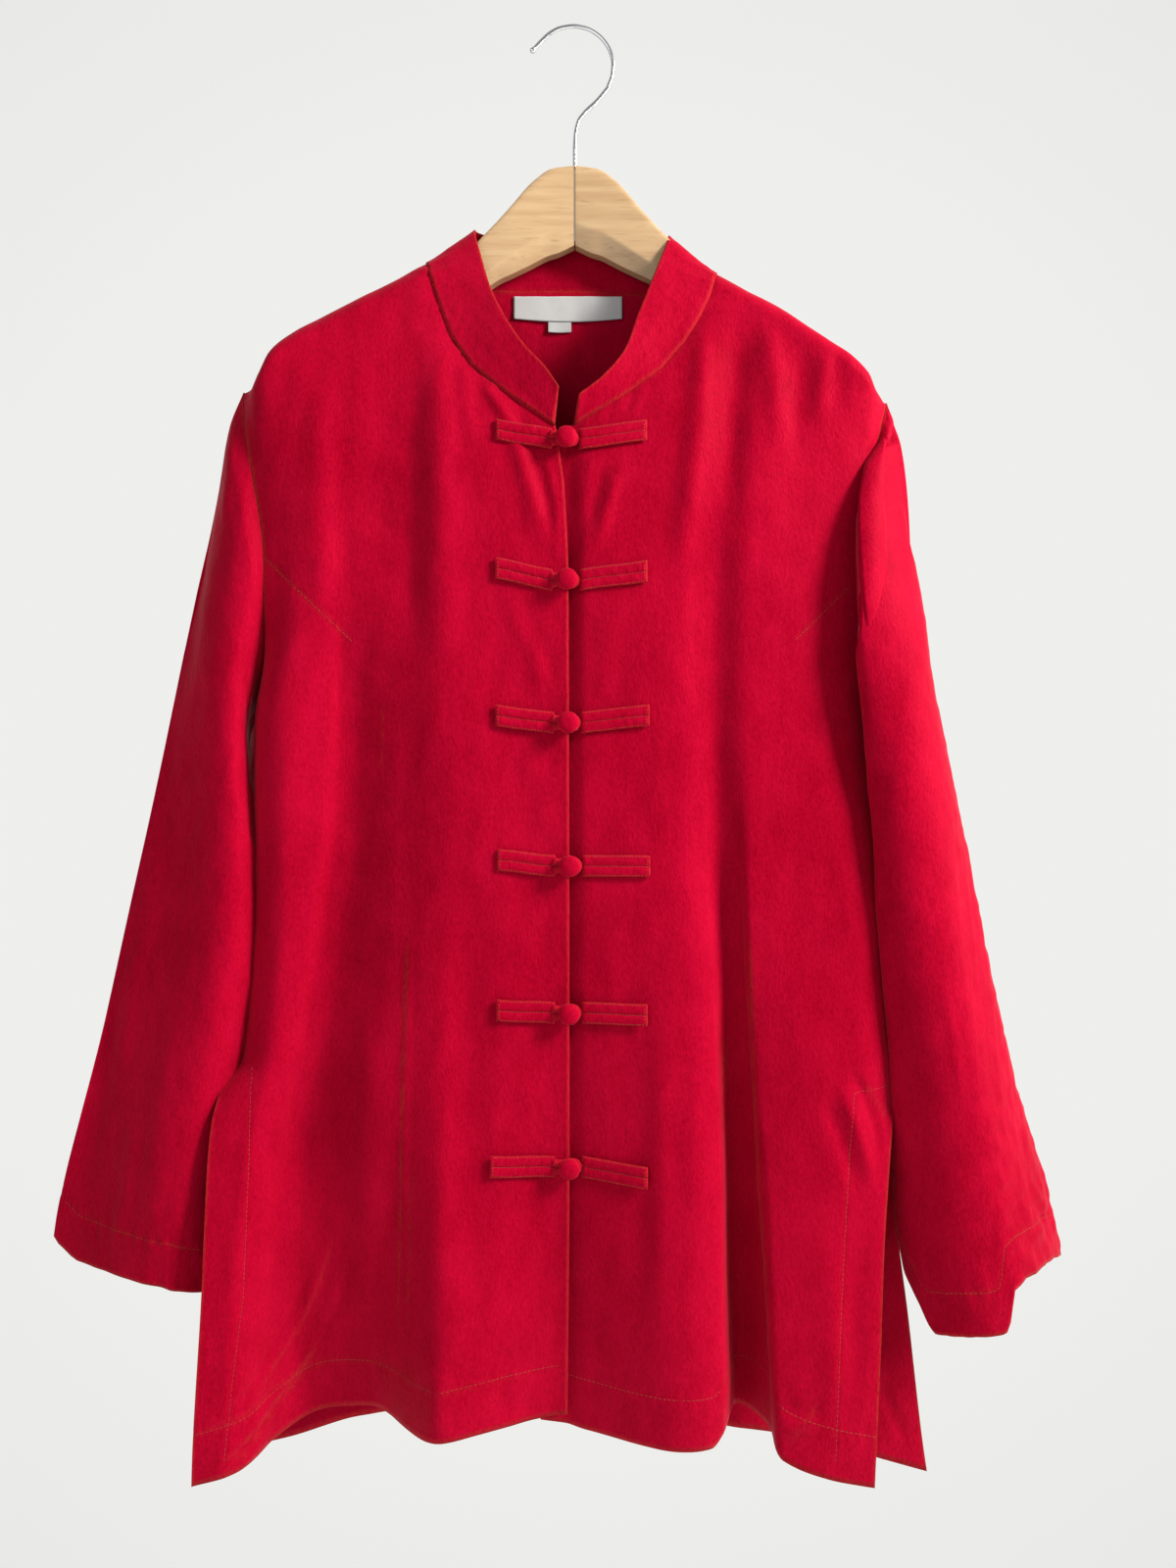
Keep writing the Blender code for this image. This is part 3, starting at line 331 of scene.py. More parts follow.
# How far a sleeve's front folds back over the front panel, just below the shoulder.
SLEEVE_LAP = {"right": 0.0, "left": -25.0}
# Where the lap is widest on its way from the shoulder to the underarm, and how square it is there.
LAP_PEAK = 0.2
LAP_SQUARE = 0.9
# How square a sleeve's back stands up from its outer edge and from its inner one: a lower power is squarer.
SLEEVE_SQUARE = {"right": (0.7, 0.7), "left": (0.7, 2.0)}
# Shares of the sleeve's length: where it leaves the armhole's depth, where the lap comes and goes,
# and where the ring leaves the armhole's line.
LEAVES_DEPTH = 0.04
LAP_STARTS = 0.01
LAP_FULL = 0.06
LAP_FALLS = 0.08
LEAVES_ARMHOLE = 0.25
TRIM_FULL = 0.2
# How square the top of a sleeve's ridge is: a lower power is squarer.
RIDGE_SQUARE = 0.7

# Stand collar: a row is one place of its top edge, with its share of the way round
# from the right front end to the left one. Its lower edge is the neckline.
COLLAR_COLUMNS = ("share", "top_x", "top_z", "top_y")
COLLAR = (
    (0.00, -11.0, -279.0, -42),
    (0.04, -20.0, -265.5, -41),
    (0.08, -35.6, -248.0, -38),
    (0.13, -49.3, -226.7, -33),
    (0.18, -60.5, -202.4, -25),
    (0.24, -68.7, -173.7, -15),
    (0.31, -73.5, -154.0, -6),
    (0.35, -73.8, -149.5, 2),
    (0.39, -66.0, -150.0, 9),
    (0.45, -45.0, -151.5, 12),
    (0.50, 0.0, -152.5, 13),
    (0.55, 43.0, -152.5, 12),
    (0.61, 62.0, -152.5, 9),
    (0.65, 69.6, -153.5, 2),
    (0.69, 69.0, -158.0, -6),
    (0.76, 62.8, -177.0, -15),
    (0.82, 53.1, -203.8, -25),
    (0.87, 45.4, -224.5, -31),
    (0.92, 36.4, -249.9, -36),
    (0.96, 21.0, -270.0, -40),
    (1.00, 3.5, -284.0, -41),
)

# Frog fastenings: a row is one pair of strips with its loop and button.
# Each is a place: x and z.
FROG_COLUMNS = ("right_end", "button", "left_end")
FROGS = (
    ((-55.3, -309.6), (-5.5, -316.2), (51.4, -310.0)),
    ((-55.3, -408.7), (-4.9, -417.0), (51.4, -410.8)),
    ((-55.3, -512.6), (-4.0, -517.8), (53.0, -512.6)),
    ((-54.0, -614.8), (-3.0, -618.9), (53.4, -619.2)),
    ((-54.6, -720.4), (-3.5, -722.8), (51.4, -723.6)),
    ((-58.8, -829.5), (-3.3, -831.5), (51.4, -836.2)),
)
STRIP_WIDTH = 14.5
STRIP_WALL = 1.6
STRIP_TO_BUTTON = {"right": 10.5, "left": 9.0}
LOOP_RADIUS = 1.5
LOOP_HALF_WIDTH = 4.4
LOOP_REACH = 7.0
BUTTON_RADIUS = 8.0
BUTTON_HALF_DEPTH = 4.2
BUTTON_SINK = 0.6

LABEL = {"left": -46.1, "right": 35.5, "top": -195.0, "bottom": -212.0}
SIZE_TAB = {"left": -20.0, "right": -2.8, "top": -212.5, "bottom": -222.0}

# Hanger arm: a row is one station out from the centre. The first five, like the middle of the collar's
# back, have the heights of the photograph, a few millimetres off the solids'.
# Past the neck its top lies just under the shoulder seam.
ARM_COLUMNS = ("out", "top", "height", "thickness")
ARM = (
    (0, -105, 57, 16),
    (16, -107, 62, 16),
    (31, -117, 59, 16),
    (46, -134, 49.5, 16),
    (58, -147.5, 42, 15.5),
    (70, -160, 38.5, 15),
    (86, -177, 37, 15),
    (108, -195, 33, 14),
    (150, -212, 30, 14),
    (190, -246, 27, 13),
)
ARM_END = {"right": 217.0, "left": 204.0}
ARM_UNDER_SEAM = 2.2
ARM_MEETS_SEAM = (86.0, 130.0)
ARM_END_ROUND = 14.0

HOOK_WIRE = 3.2
HOOK_RADIUS = 30.0
HOOK_CENTRE_X = -1.5
HOOK_TIP = (-32.8, -18.1)
HOOK_SHANK = ((25.4, -43.0), (16.7, -53.6), (7.4, -62.5), (2.6, -69.5), (0.6, -79.0), (0.0, -90.0))
WOOD_TOP_Z = -105.0


def column(columns, rows, name):
    return [row[columns.index(name)] for row in rows]


def curve_through(stations, values):
    """Smooth curve through values at the stations, with no overshoot, held level beyond its ends."""
    x = np.array(stations, float)
    y = np.array(values, float)
    if x[0] > x[-1]:
        x = x[::-1]
        y = y[::-1]
    step = np.diff(x)
    slope = np.diff(y) / step
    tangent = np.zeros_like(y)
    tangent[0] = slope[0]
    tangent[-1] = slope[-1]
    for i in range(1, len(x) - 1):
        if slope[i - 1] * slope[i] > 0:
            tangent[i] = 2 / (1 / slope[i - 1] + 1 / slope[i])

    def at(place):
        place = np.clip(np.asarray(place, float), x[0], x[-1])
        i = np.clip(np.searchsorted(x, place, side="right") - 1, 0, len(step) - 1)
        t = (place - x[i]) / step[i]
        return (
            (1 + 2 * t) * (1 - t) ** 2 * y[i]
            + t * (1 - t) ** 2 * step[i] * tangent[i]
            + t * t * (3 - 2 * t) * y[i + 1]
            + t * t * (t - 1) * step[i] * tangent[i + 1]
        )

    return at


def curves_of(columns, rows):
    """The columns of a table as curves over its first column."""
    stations = column(columns, rows, columns[0])
    return {name: curve_through(stations, column(columns, rows, name)) for name in columns[1:]}


def blend(a, b, share):
    return a + (b - a) * share


def ease(t):
    """From 0 to 1, quick at first."""
    return 1 - (1 - np.clip(t, 0, 1)) ** 2


def turn(t):
    """A quarter circle: from 0 to 1, starting square to the way it goes on."""
    return np.sqrt(1 - (1 - np.clip(t, 0, 1)) ** 2)


def smooth(t):
    t = np.clip(t, 0, 1)
    return t * t * (3 - 2 * t)


def seam_over_wood():
    """The line over the hanger from one shoulder tip to the other: z and y over x."""
    return curves_of(SHOULDER_COLUMNS, SHOULDER["right"] + OVER_NECK + SHOULDER["left"][::-1])


EDGES = {side: curves_of(EDGE_COLUMNS, EDGE[side]) for side in EDGE}
INNERS = {side: curves_of(INNER_COLUMNS, INNER[side])["x"] for side in INNER}
HEMS = {panel: curves_of(HEM_COLUMNS, HEM[panel])["z"] for panel in HEM}
SEAM_OVER_WOOD = seam_over_wood()
FALLS = curves_of(FALL_COLUMNS, FALL)


def armhole_share(w):
    """Share of the armhole's height below its tip, for the share w of its rows."""
    return (1 - np.cos(np.pi * np.clip(w, 0, 1) ** TIP_CROWDING)) / 2


def side_height(row, hem_z, side):
    """Height of a row at a panel's side edge."""
    low = np.interp(row, (0, SLIT_ROW, UNDERARM_ROW), (hem_z, SLIT_TOP_Z[side], UNDERARM_Z))
    rise = 1 - armhole_share((ROWS - row) / (ROWS - UNDERARM_ROW))
    return np.where(row > UNDERARM_ROW, blend(UNDERARM_Z, SHOULDER_TIP_Z[side], rise), low)


def inner_height(row, hem_z, side):
    """Height of a row at a front's inner edge."""
    low = np.interp(
        row,
        (0, SLIT_ROW, UNDERARM_ROW, NECK_ROW),
        (hem_z, CENTRE_AT_SLIT_Z[side], CENTRE_AT_UNDERARM_Z[side], NECK_CORNER_Z[side]),
    )
    span = ROWS - UNDERARM_ROW
    rise = 1 - armhole_share((ROWS - row) / span) / armhole_share((ROWS - NECK_ROW) / span)
    neck_z = SHOULDER[side][-1][1]
    return np.where(row > NECK_ROW, blend(NECK_CORNER_Z[side], neck_z, rise), low)


def hanging_depth(panel, x, z):
    """Depth of the hanging cloth, read across its folds at the height z."""
    rows = FOLDS[panel]
    heights = [row[0] for row in rows]
    places = []
    depths = []
    for fold in range(len(FOLD_NAMES[panel])):
        places.append(curve_through(heights, [row[1 + 2 * fold] for row in rows])(z))
        depths.append(curve_through(heights, [row[2 + 2 * fold] for row in rows])(z))
    places = np.array(places)
    depths = np.array(depths)
    step = np.diff(places, axis=0)
    slope = np.diff(depths, axis=0) / step
    tangent = np.zeros_like(depths)
    product = slope[:-1] * slope[1:]
    same_way = product > 0
    total = np.where(same_way, slope[:-1] + slope[1:], 1.0)
    tangent[1:-1] = np.where(same_way, 2 * product / total, 0.0)
    x = np.clip(x, places[0], places[-1])
    i = np.clip((x[None, :] >= places).sum(axis=0) - 1, 0, len(places) - 2)
    point = np.arange(len(x))
    h = step[i, point]
    t = (x - places[i, point]) / h
    return (
        (1 + 2 * t) * (1 - t) ** 2 * depths[i, point]
        + t * (1 - t) ** 2 * h * tangent[i, point]
        + t * t * (3 - 2 * t) * depths[i + 1, point]
        + t * t * (t - 1) * h * tangent[i + 1, point]
    )


def depth_under_seam(panel, x, z, z_top):
    """Depth near the shoulder: over the wood, then out to where the cloth hangs."""
    way = 1 if panel == "back" else -1
    start = SEAM_OVER_WOOD["y"](x) + way * (SEAM_GAP + ROOM) / 2
    below = np.maximum(z_top - z, 0)
    fall = FALLS["back" if panel == "back" else "front"](np.abs(x))
    over = start + way * OVER_WOOD * turn(below / OVER_WOOD_TURN)
    left_to_go = hanging_depth(panel, x, z) - start - way * OVER_WOOD
    return over + left_to_go * ease(below / fall)


def edge_depth(y, side, face, x, edge_x, edge_z):
    """Brings the depth to the side seam or the armhole's edge."""
    edge = EDGES[side]
    way = 1 if face == "back" else -1
    y_edge = edge[face + "_y"](edge_z) + way * (SEAM_GAP / 2 + ROOM)
    away = np.abs(x - edge_x) / edge["turn"](edge_z)
    share = blend(ease(away), turn(away), edge["round"](edge_z))
    return y_edge + (y - y_edge) * share


def plan(share, share_low, share_high, row, first, last, bottom, top):
    """Places across and up of a panel's points, inside its four edges.

    first and last are the two side edges: x and z at each row, then both ends' x and z.
    The shares give the place across: at the row itself, along the bottom and along the top.
    """
    x = blend(first["x"], last["x"], share)
    z = blend(first["z"], last["z"], share)
    x_low = blend(first["low"][0], last["low"][0], share_low)
    z_low = blend(first["low"][1], last["low"][1], share_low)
    x_high = blend(first["high"][0], last["high"][0], share_high)
    z_high = blend(first["high"][1], last["high"][1], share_high)
    z = z + smooth((row - UNDERARM_ROW) / (ROWS - UNDERARM_ROW)) * (top(x_high) - z_high)
    z = z + smooth((HEM_ROWS - row) / HEM_ROWS) * (bottom(x_low) - z_low)
    return x, z


def edge_line(edge_x, z, z_low, z_high):
    return {"x": edge_x(z), "z": z, "low": (edge_x(z_low), z_low), "high": (edge_x(z_high), z_high)}


def share_along(x_stations, u):
    """Share across of the place u along a list of stations."""
    x = np.interp(u * (len(x_stations) - 1), np.arange(len(x_stations)), x_stations)
    return (x - x_stations[0]) / (x_stations[-1] - x_stations[0])


def front_point(side, u, row):
    """Mid-surface of a front: u from its side edge to its inner edge, row from the hem up."""
    hem = HEM[side]
    outer_low, inner_low = (hem[0][1], hem[-1][1]) if side == "right" else (hem[-1][1], hem[0][1])
    shoulder = SHOULDER[side]
    neck_z = shoulder[-1][1]
    outer_z = side_height(row, outer_low, side)
    first = edge_line(EDGES[side]["front_x"], outer_z, outer_low, SHOULDER_TIP_Z[side])
    last = edge_line(INNERS[side], inner_height(row, inner_low, side), inner_low, neck_z)
    share_low = u**SIDE_CROWDING
    share_high = share_along([place[0] for place in shoulder], u)
    share = blend(share_low, share_high, smooth((row - UNDERARM_ROW) / (ROWS - UNDERARM_ROW)))
    x, z = plan(share, share_low, share_high, row, first, last, HEMS[side], SEAM_OVER_WOOD["z"])
    z_top = np.minimum(SEAM_OVER_WOOD["z"](x), neck_z)
    y = depth_under_seam(side, x, z, z_top)
    y = edge_depth(y, side, "front", x, first["x"], outer_z)
    return np.stack([x, y, z], axis=1)


def back_point(u, row):
    """Mid-surface of the back: u from the wearer's right side to the left, row from the hem up."""
    hem = HEM["back"]
    top_line = SHOULDER["right"] + BACK_NECK[1:-1] + SHOULDER["left"][::-1]
    top_x = [place[0] for place in top_line]
    top_z = [place[1] for place in top_line]

    def top(x):
        return np.interp(x, top_x, top_z)

    right_z = side_height(row, hem[0][1], "right")
    left_z = side_height(row, hem[-1][1], "left")
    first = edge_line(EDGES["right"]["back_x"], right_z, hem[0][1], SHOULDER_TIP_Z["right"])
    last = edge_line(EDGES["left"]["back_x"], left_z, hem[-1][1], SHOULDER_TIP_Z["left"])
    share_low = (1 - np.cos(np.pi * u)) / 2
    share_high = share_along(top_x, u)
    share = blend(share_low, share_high, smooth((row - UNDERARM_ROW) / (ROWS - UNDERARM_ROW)))
    x, z = plan(share, share_low, share_high, row, first, last, HEMS["back"], top)
    y = depth_under_seam("back", x, z, np.maximum(SEAM_OVER_WOOD["z"](x), z))
    y = edge_depth(y, "right", "back", x, first["x"], right_z)
    y = edge_depth(y, "left", "back", x, last["x"], left_z)
    return np.stack([x, y, z], axis=1)


def armhole_point(side, face, t):
    """A point of the armhole, t from the shoulder tip to the underarm along the front or the back."""
    z = blend(SHOULDER_TIP_Z[side], UNDERARM_Z, t)
    edge = EDGES[side]
    return edge[face + "_x"](z), edge[face + "_y"](z), z


def hump(t, peak, square=RIDGE_SQUARE):
    """Rises from 0, is 1 at the peak's share, and falls to 0 at 1: a lower power makes it squarer."""
    power = math.log(0.5) / np.log(peak)
    return np.sin(np.pi * np.clip(t, 0, 1) ** power) ** square


def sleeve_point(side, u, s):
    """Mid-surface of a sleeve: u round from its outer edge by the front, s from armhole to cuff."""
    ring = curves_of(SLEEVE_COLUMNS, SLEEVE[side])
    is_front = u <= 0.5
    t = armhole_share(np.where(is_front, 2 * u, 2 - 2 * u))

    def ring_point(share):
        x = blend(ring["outer_x"](share), ring["inner_x"](share), t)
        z = blend(ring["outer_z"](share), ring["inner_z"](share), t)
        y = blend(ring["outer_y"](share), ring["inner_y"](share), t)
        peak = ring["ridge_share"](share)
        base = blend(ring["outer_y"](share), ring["inner_y"](share), peak)
        front = y + (ring["ridge_y"](share) - base) * hump(t, peak)
        middle = blend(ring["outer_y"](share), ring["inner_y"](share), 0.5)
        square = blend(*SLEEVE_SQUARE[side], t)
        back = y + (ring["back_y"](share) - middle) * hump(t, 0.5 + 0 * t, square)
        z = z - np.where(is_front, ring["droop"](share) * hump(t, DROOP_PEAK + 0 * t), 0)
        cuff = np.interp(t, *(column(CUFF_COLUMNS, CUFF[side], name) for name in CUFF_COLUMNS))
        cuff = cuff * smooth((share - CUFF_SHAPE_STARTS) / (1 - CUFF_SHAPE_STARTS))
        z = z + np.where(is_front, cuff, 0)
        return x, np.where(is_front, front, back), z

    x, y, z = ring_point(s)
    x_start, y_start, _ = ring_point(0 * s)
    front_arm = armhole_point(side, "front", t)
    back_arm = armhole_point(side, "back", t)
    x_arm = np.where(is_front, front_arm[0], back_arm[0])
    y_arm = np.where(is_front, front_arm[1], back_arm[1])
    clear = SEAM_GAP + 2 * ROOM + SLEEVE_STANDOFF * EDGES[side]["round"](front_arm[2])
    x = x + (x_arm - x_start) * (1 - smooth(s / LEAVES_ARMHOLE))
    x = x + WAY_OUT[side] * (clear - (clear + SLEEVE_TRIM) * smooth(s / TRIM_FULL) * (1 - t))
    y = y + (y_arm - y_start) * (1 - smooth(s / LEAVES_DEPTH))
    come = smooth((s - LAP_STARTS) / (LAP_FULL - LAP_STARTS))
    go = smooth((s - LAP_FALLS) / (LEAVES_ARMHOLE - LAP_FALLS))
    lap = SLEEVE_LAP[side] * come * (1 - go) * hump(t, LAP_PEAK, LAP_SQUARE)
    x = x + np.where(is_front, lap, 0)
    return np.stack([x, y, z], axis=1)


def panel_at(panel, x, z):
    """Depth of a front's or the back's mid-surface at places away from its edges."""
    shape = np.shape(x) or (1,)
    x = np.ravel(np.asarray(x, float))
    z = np.ravel(np.asarray(z, float))
    z_top = SEAM_OVER_WOOD["z"](x)
    if panel != "back":
        z_top = np.minimum(z_top, SEAM_OVER_WOOD["z"](NECK_X[panel]))
    return depth_under_seam(panel, x, z, z_top).reshape(shape)


def collar_seam():
    """The neckline's points in turn: up the right front, across the back and down the left front."""
    neck_rows = np.arange(NECK_ROW, ROWS + 1)
    line = []
    for side in ("right", "left"):
        z = inner_height(neck_rows, 0, side)
        x = INNERS[side](z)
        line.append(np.stack([x, panel_at(side, x, z), z], axis=1))
    x, z = (column(BACK_NECK_COLUMNS, BACK_NECK, name) for name in BACK_NECK_COLUMNS)
    back = np.stack([x, panel_at("back", x, z), z], axis=1)
    back[0] = (line[0][-1] + back[0]) / 2
    back[-1] = (line[1][-1] + back[-1]) / 2
    return np.concatenate([line[0][:-1], back, line[1][-2::-1]])


def collar_point(u, v):
    """Mid-surface of the collar: u along it from the right front end, v from the seam to the top edge."""
    seam = collar_seam()
    place = np.arange(len(seam)) / (len(seam) - 1)
    edge = curves_of(COLLAR_COLUMNS, COLLAR)
    low = np.stack([np.interp(u, place, seam[:, i]) for i in range(3)], axis=1)
    high = np.stack([edge[name](u) for name in ("top_x", "top_y", "top_z")], axis=1)
    up = high - low
    height = np.linalg.norm(up, axis=1, keepdims=True)
    start = (SEAM_GAP + ROOM) / height
    return low + up * (start + (1 - start) * v[:, None])


# Shell of the cloth, thinner than the solids' wall and centred in it.
SHELL = 0.9
COLLAR_SHELL = 1.5
STRIP_SHELL = 1.3
LABEL_SHELL = 0.7
# Faces of each piece, across and up or along.
FINE = {"front": (150, 260), "back": (170, 220), "sleeve": (150, 230), "collar": (260, 28)}
STRIP_FINE = (44, 26)
LABEL_FINE = (60, 16)
ARM_FINE = (96, 110)
BUTTON_FINE = (26, 48)
LOOP_RINGS = 56
# Above 1, a sleeve's rows crowd towards the armhole.
SLEEVE_CROWDING = 1.25
# The random seed of each large panel's unevenness.
SEEDS = {"right": 11, "left": 12, "back": 13, "sleeve_right": 14, "sleeve_left": 15}
# How many waves a wobble is made of.
WAVES = 7

# Creases: a row is a curve through three places, with its height (less than 0 for a trough) and width.
# Steep folds have two widths in place of one, and painted crease lines (partly wear, partly painted
# highlight) a strength in place of the height.
CREASE_COLUMNS = ("x0", "z0", "x1", "z1", "x2", "z2", "height", "width")
CREASE_SIZES = CREASE_COLUMNS.index("height")
# The share of a crease, and of a painted crease line, over which it fades out at each end.
CREASE_ENDS = 0.3
WORN_AND_HIGHLIT_ENDS = 0.2
CREASES = {
    "right": (
        (-115.9, -640, -118.7, -795, -121.4, -990, 0.9, 2.2),
        (-72.1, -621, -74.0, -790, -70.0, -985, -2.6, 14),
        (-138.0, -690, -141.0, -850, -141.0, -1045, 6.0, 19),
        (-97.0, -230, -94.0, -340, -92.0, -500, 3.2, 12),
        (-112.0, -250, -116.0, -360, -112.0, -500, -1.8, 9),
        (-180.0, -262, -179.0, -360, -176.0, -460, 2.6, 11),
        (-134.0, -250, -136.0, -330, -138.0, -440, -1.6, 12),
        (-65.4, -274, -57.0, -288, -46.0, -303, 1.5, 3.2),
        (-48.0, -286, -43.0, -293, -36.0, -301, 1.2, 2.6),
        (-80.0, -262, -76.0, -290, -70.0, -330, 1.2, 5),
        (-64.0, -262, -38.0, -330, -17.0, -404, 2.0, 5),
        (-50.0, -270, -27.0, -332, -12.0, -396, -1.4, 4),
        (-22.0, -330, -14.0, -352, -10.0, -392, 1.4, 3.6),
        (-38.0, -330, -34.0, -356, -31.0, -392, 0.9, 5),
        (-16.0, -360, -12.0, -385, -12.0, -408, 1.0, 4),
        (-58.0, -420, -34.0, -455, -20.0, -500, 1.3, 8),
        (-48.0, -430, -24.0, -462, -13.0, -505, -0.9, 6),
        (-40.0, -530, -24.0, -566, -18.0, -610, 0.8, 8),
        (-158.0, -462, -172.0, -560, -184.0, -640, 1.2, 9),
        (-205.0, -760, -200.0, -850, -208.0, -960, 1.6, 12),
        (-178.0, -950, -212.0, -1000, -250.0, -1030, 2.0, 3.4),
        (-186.0, -972, -216.0, -1012, -246.0, -1036, -1.8, 3.0),
        (-196.0, -930, -226.0, -985, -256.0, -1012, -1.6, 3.4),
        (-200.0, -1000, -220.0, -1022, -240.0, -1044, 1.6, 2.6),
        (-176.0, -880, -200.0, -950, -232.0, -996, 1.6, 4.2),
        (-160.0, -900, -172.0, -940, -196.0, -975, -1.4, 4.0),
        (-92.0, -960, -93.0, -990, -94.0, -1012, 1.8, 8),
        (-52.0, -950, -50.0, -980, -50.0, -1010, -1.2, 9),
        (-150.0, -700, -150.0, -800, -160.0, -900, 1.0, 10),
    ),
    "left": (
        (95.2, -205, 88.0, -310, 74.0, -420, 3.4, 9),
        (122.0, -215, 116.0, -300, 104.0, -400, -2.0, 9),
        (139.0, -226, 142.0, -270, 145.0, -330, 2.0, 8),
        (179.2, -246, 177.0, -275, 173.7, -310, 1.8, 7),
        (116.0, -215, 112.0, -290, 104.0, -360, -1.6, 9),
        (160.0, -240, 160.0, -280, 156.0, -340, -1.4, 8),
        (38.0, -282, 33.0, -290, 26.0, -300, 1.2, 2.8),
        (26.0, -288, 20.0, -296, 13.0, -304, 1.0, 2.6),
        (52.0, -272, 46.0, -286, 40.0, -303, 1.0, 3.4),
        (34.0, -322, 25.0, -360, 13.0, -404, 1.6, 4.5),
        (24.0, -322, 17.0, -350, 8.0, -396, -1.2, 3.6),
        (16.0, -325, 12.0, -334, 9.0, -346, 0.9, 2.4),
        (33.0, -330, 27.0, -356, 18.0, -385, 0.8, 4),
        (13.0, -366, 9.0, -386, 3.5, -408, 1.0, 2.6),
        (20.0, -362, 13.0, -388, 9.0, -408, 0.7, 3),
        (15.0, -425, 22.0, -470, 12.0, -510, 0.8, 8),
        (192.0, -762, 208.0, -790, 222.0, -842, -2.6, 4.2),
        (184.0, -772, 198.0, -802, 211.0, -848, 2.2, 4.4),
        (172.0, -780, 188.0, -812, 200.0, -856, -1.6, 5),
        (212.0, -800, 216.0, -815, 219.0, -835, 1.0, 3.4),
        (140.0, -1002, 156.0, -1008, 174.0, -1000, 1.4, 3.4),
        (146.0, -990, 160.0, -996, 178.0, -984, -1.2, 3.4),
        (174.0, -850, 178.0, -930, 176.0, -1030, 1.3, 10),
        (196.0, -850, 196.0, -930, 193.0, -1000, -1.0, 9),
        (40.0, -640, 44.0, -800, 40.0, -960, -1.6, 14),
        (60.0, -700, 60.0, -850, 62.0, -1000, 1.2, 8),
    ),
    "back": (
        (-150.0, -240, -152.0, -330, -158.0, -440, 2.2, 12),
        (-110.0, -225, -104.0, -320, -98.0, -420, 1.8, 12),
        (-60.0, -215, -52.0, -300, -50.0, -420, 1.5, 14),
        (0.0, -205, 2.0, -300, 4.0, -430, -1.6, 16),
        (66.0, -215, 58.0, -310, 52.0, -430, 1.7, 13),
        (112.0, -230, 106.0, -320, 96.0, -420, 2.0, 11),
        (156.0, -245, 160.0, -340, 164.0, -450, 2.2, 12),
        (-196.0, -400, -184.0, -560, -196.0, -760, 2.4, 13),
        (184.0, -400, 176.0, -560, 184.0, -760, 2.2, 13),
        (-70.0, -560, -74.0, -800, -80.0, -1010, 2.6, 15),
        (30.0, -520, 34.0, -760, 30.0, -1010, -2.4, 16),
        (86.0, -600, 92.0, -820, 96.0, -1020, 2.4, 13),
        (-140.0, -700, -146.0, -860, -150.0, -1020, -2.0, 14),
        (-222.0, -990, -236.0, -1015, -250.0, -1042, 1.4, 5),
        (226.0, -1000, 236.0, -1028, 250.0, -1056, 1.4, 5),
        (-30.0, -700, -34.0, -840, -40.0, -1000, 1.0, 3),
    ),
}
# Folds that fall more steeply on one side: their width left and right of the line, as seen.
STEEP_FOLDS = {
    "right": (
        (-165.0, -425, -169.0, -570, -186.0, -720, -4.2, 6, 24),
        (-174.0, -620, -192.0, -750, -208.0, -890, -4.6, 7, 27),
        (-196.0, -760, -209.0, -890, -214.0, -1150, -4.0, 8, 34),
    ),
    "left": (
        (104.0, -330, 99.0, -540, 112.0, -720, -4.6, 22, 13),
        (113.0, -560, 122.0, -800, 144.0, -1150, -8.0, 17, 4),
    ),
    "back": (),
    "sleeve_right": (),
    "sleeve_left": ((208.0, -230, 258.0, -650, 338.0, -1110, 9.0, 42, 34),),
}
# Painted crease lines, with their strength and width: partly wear along pressed creases, partly painted
# highlight of creases finer than the mesh.
WORN_AND_HIGHLIT_LINES = {
    "right": (
        (-118.0, -655, -121.0, -800, -123.5, -975, 0.8, 1.2),
        (-114.0, -830, -115.0, -880, -117.0, -960, 0.5, 1.0),
        (-136.0, -500, -137.0, -530, -138.0, -560, 0.4, 1.0),
        (-180.0, -956, -214.0, -1005, -250.0, -1034, 0.6, 1.3),
        (-190.0, -980, -218.0, -1016, -246.0, -1040, 0.5, 1.2),
        (-172.0, -880, -196.0, -948, -228.0, -996, 0.4, 1.2),
    ),
    "left": (
        (125.0, -650, 128.5, -800, 140.0, -990, 0.7, 1.1),
        (110.5, -730, 110.0, -830, 109.0, -990, 0.6, 1.1),
        (170.0, -990, 160.0, -1004, 146.0, -1018, 0.6, 1.2),
        (204.0, -770, 214.0, -785, 222.0, -800, 0.5, 1.2),
    ),
}
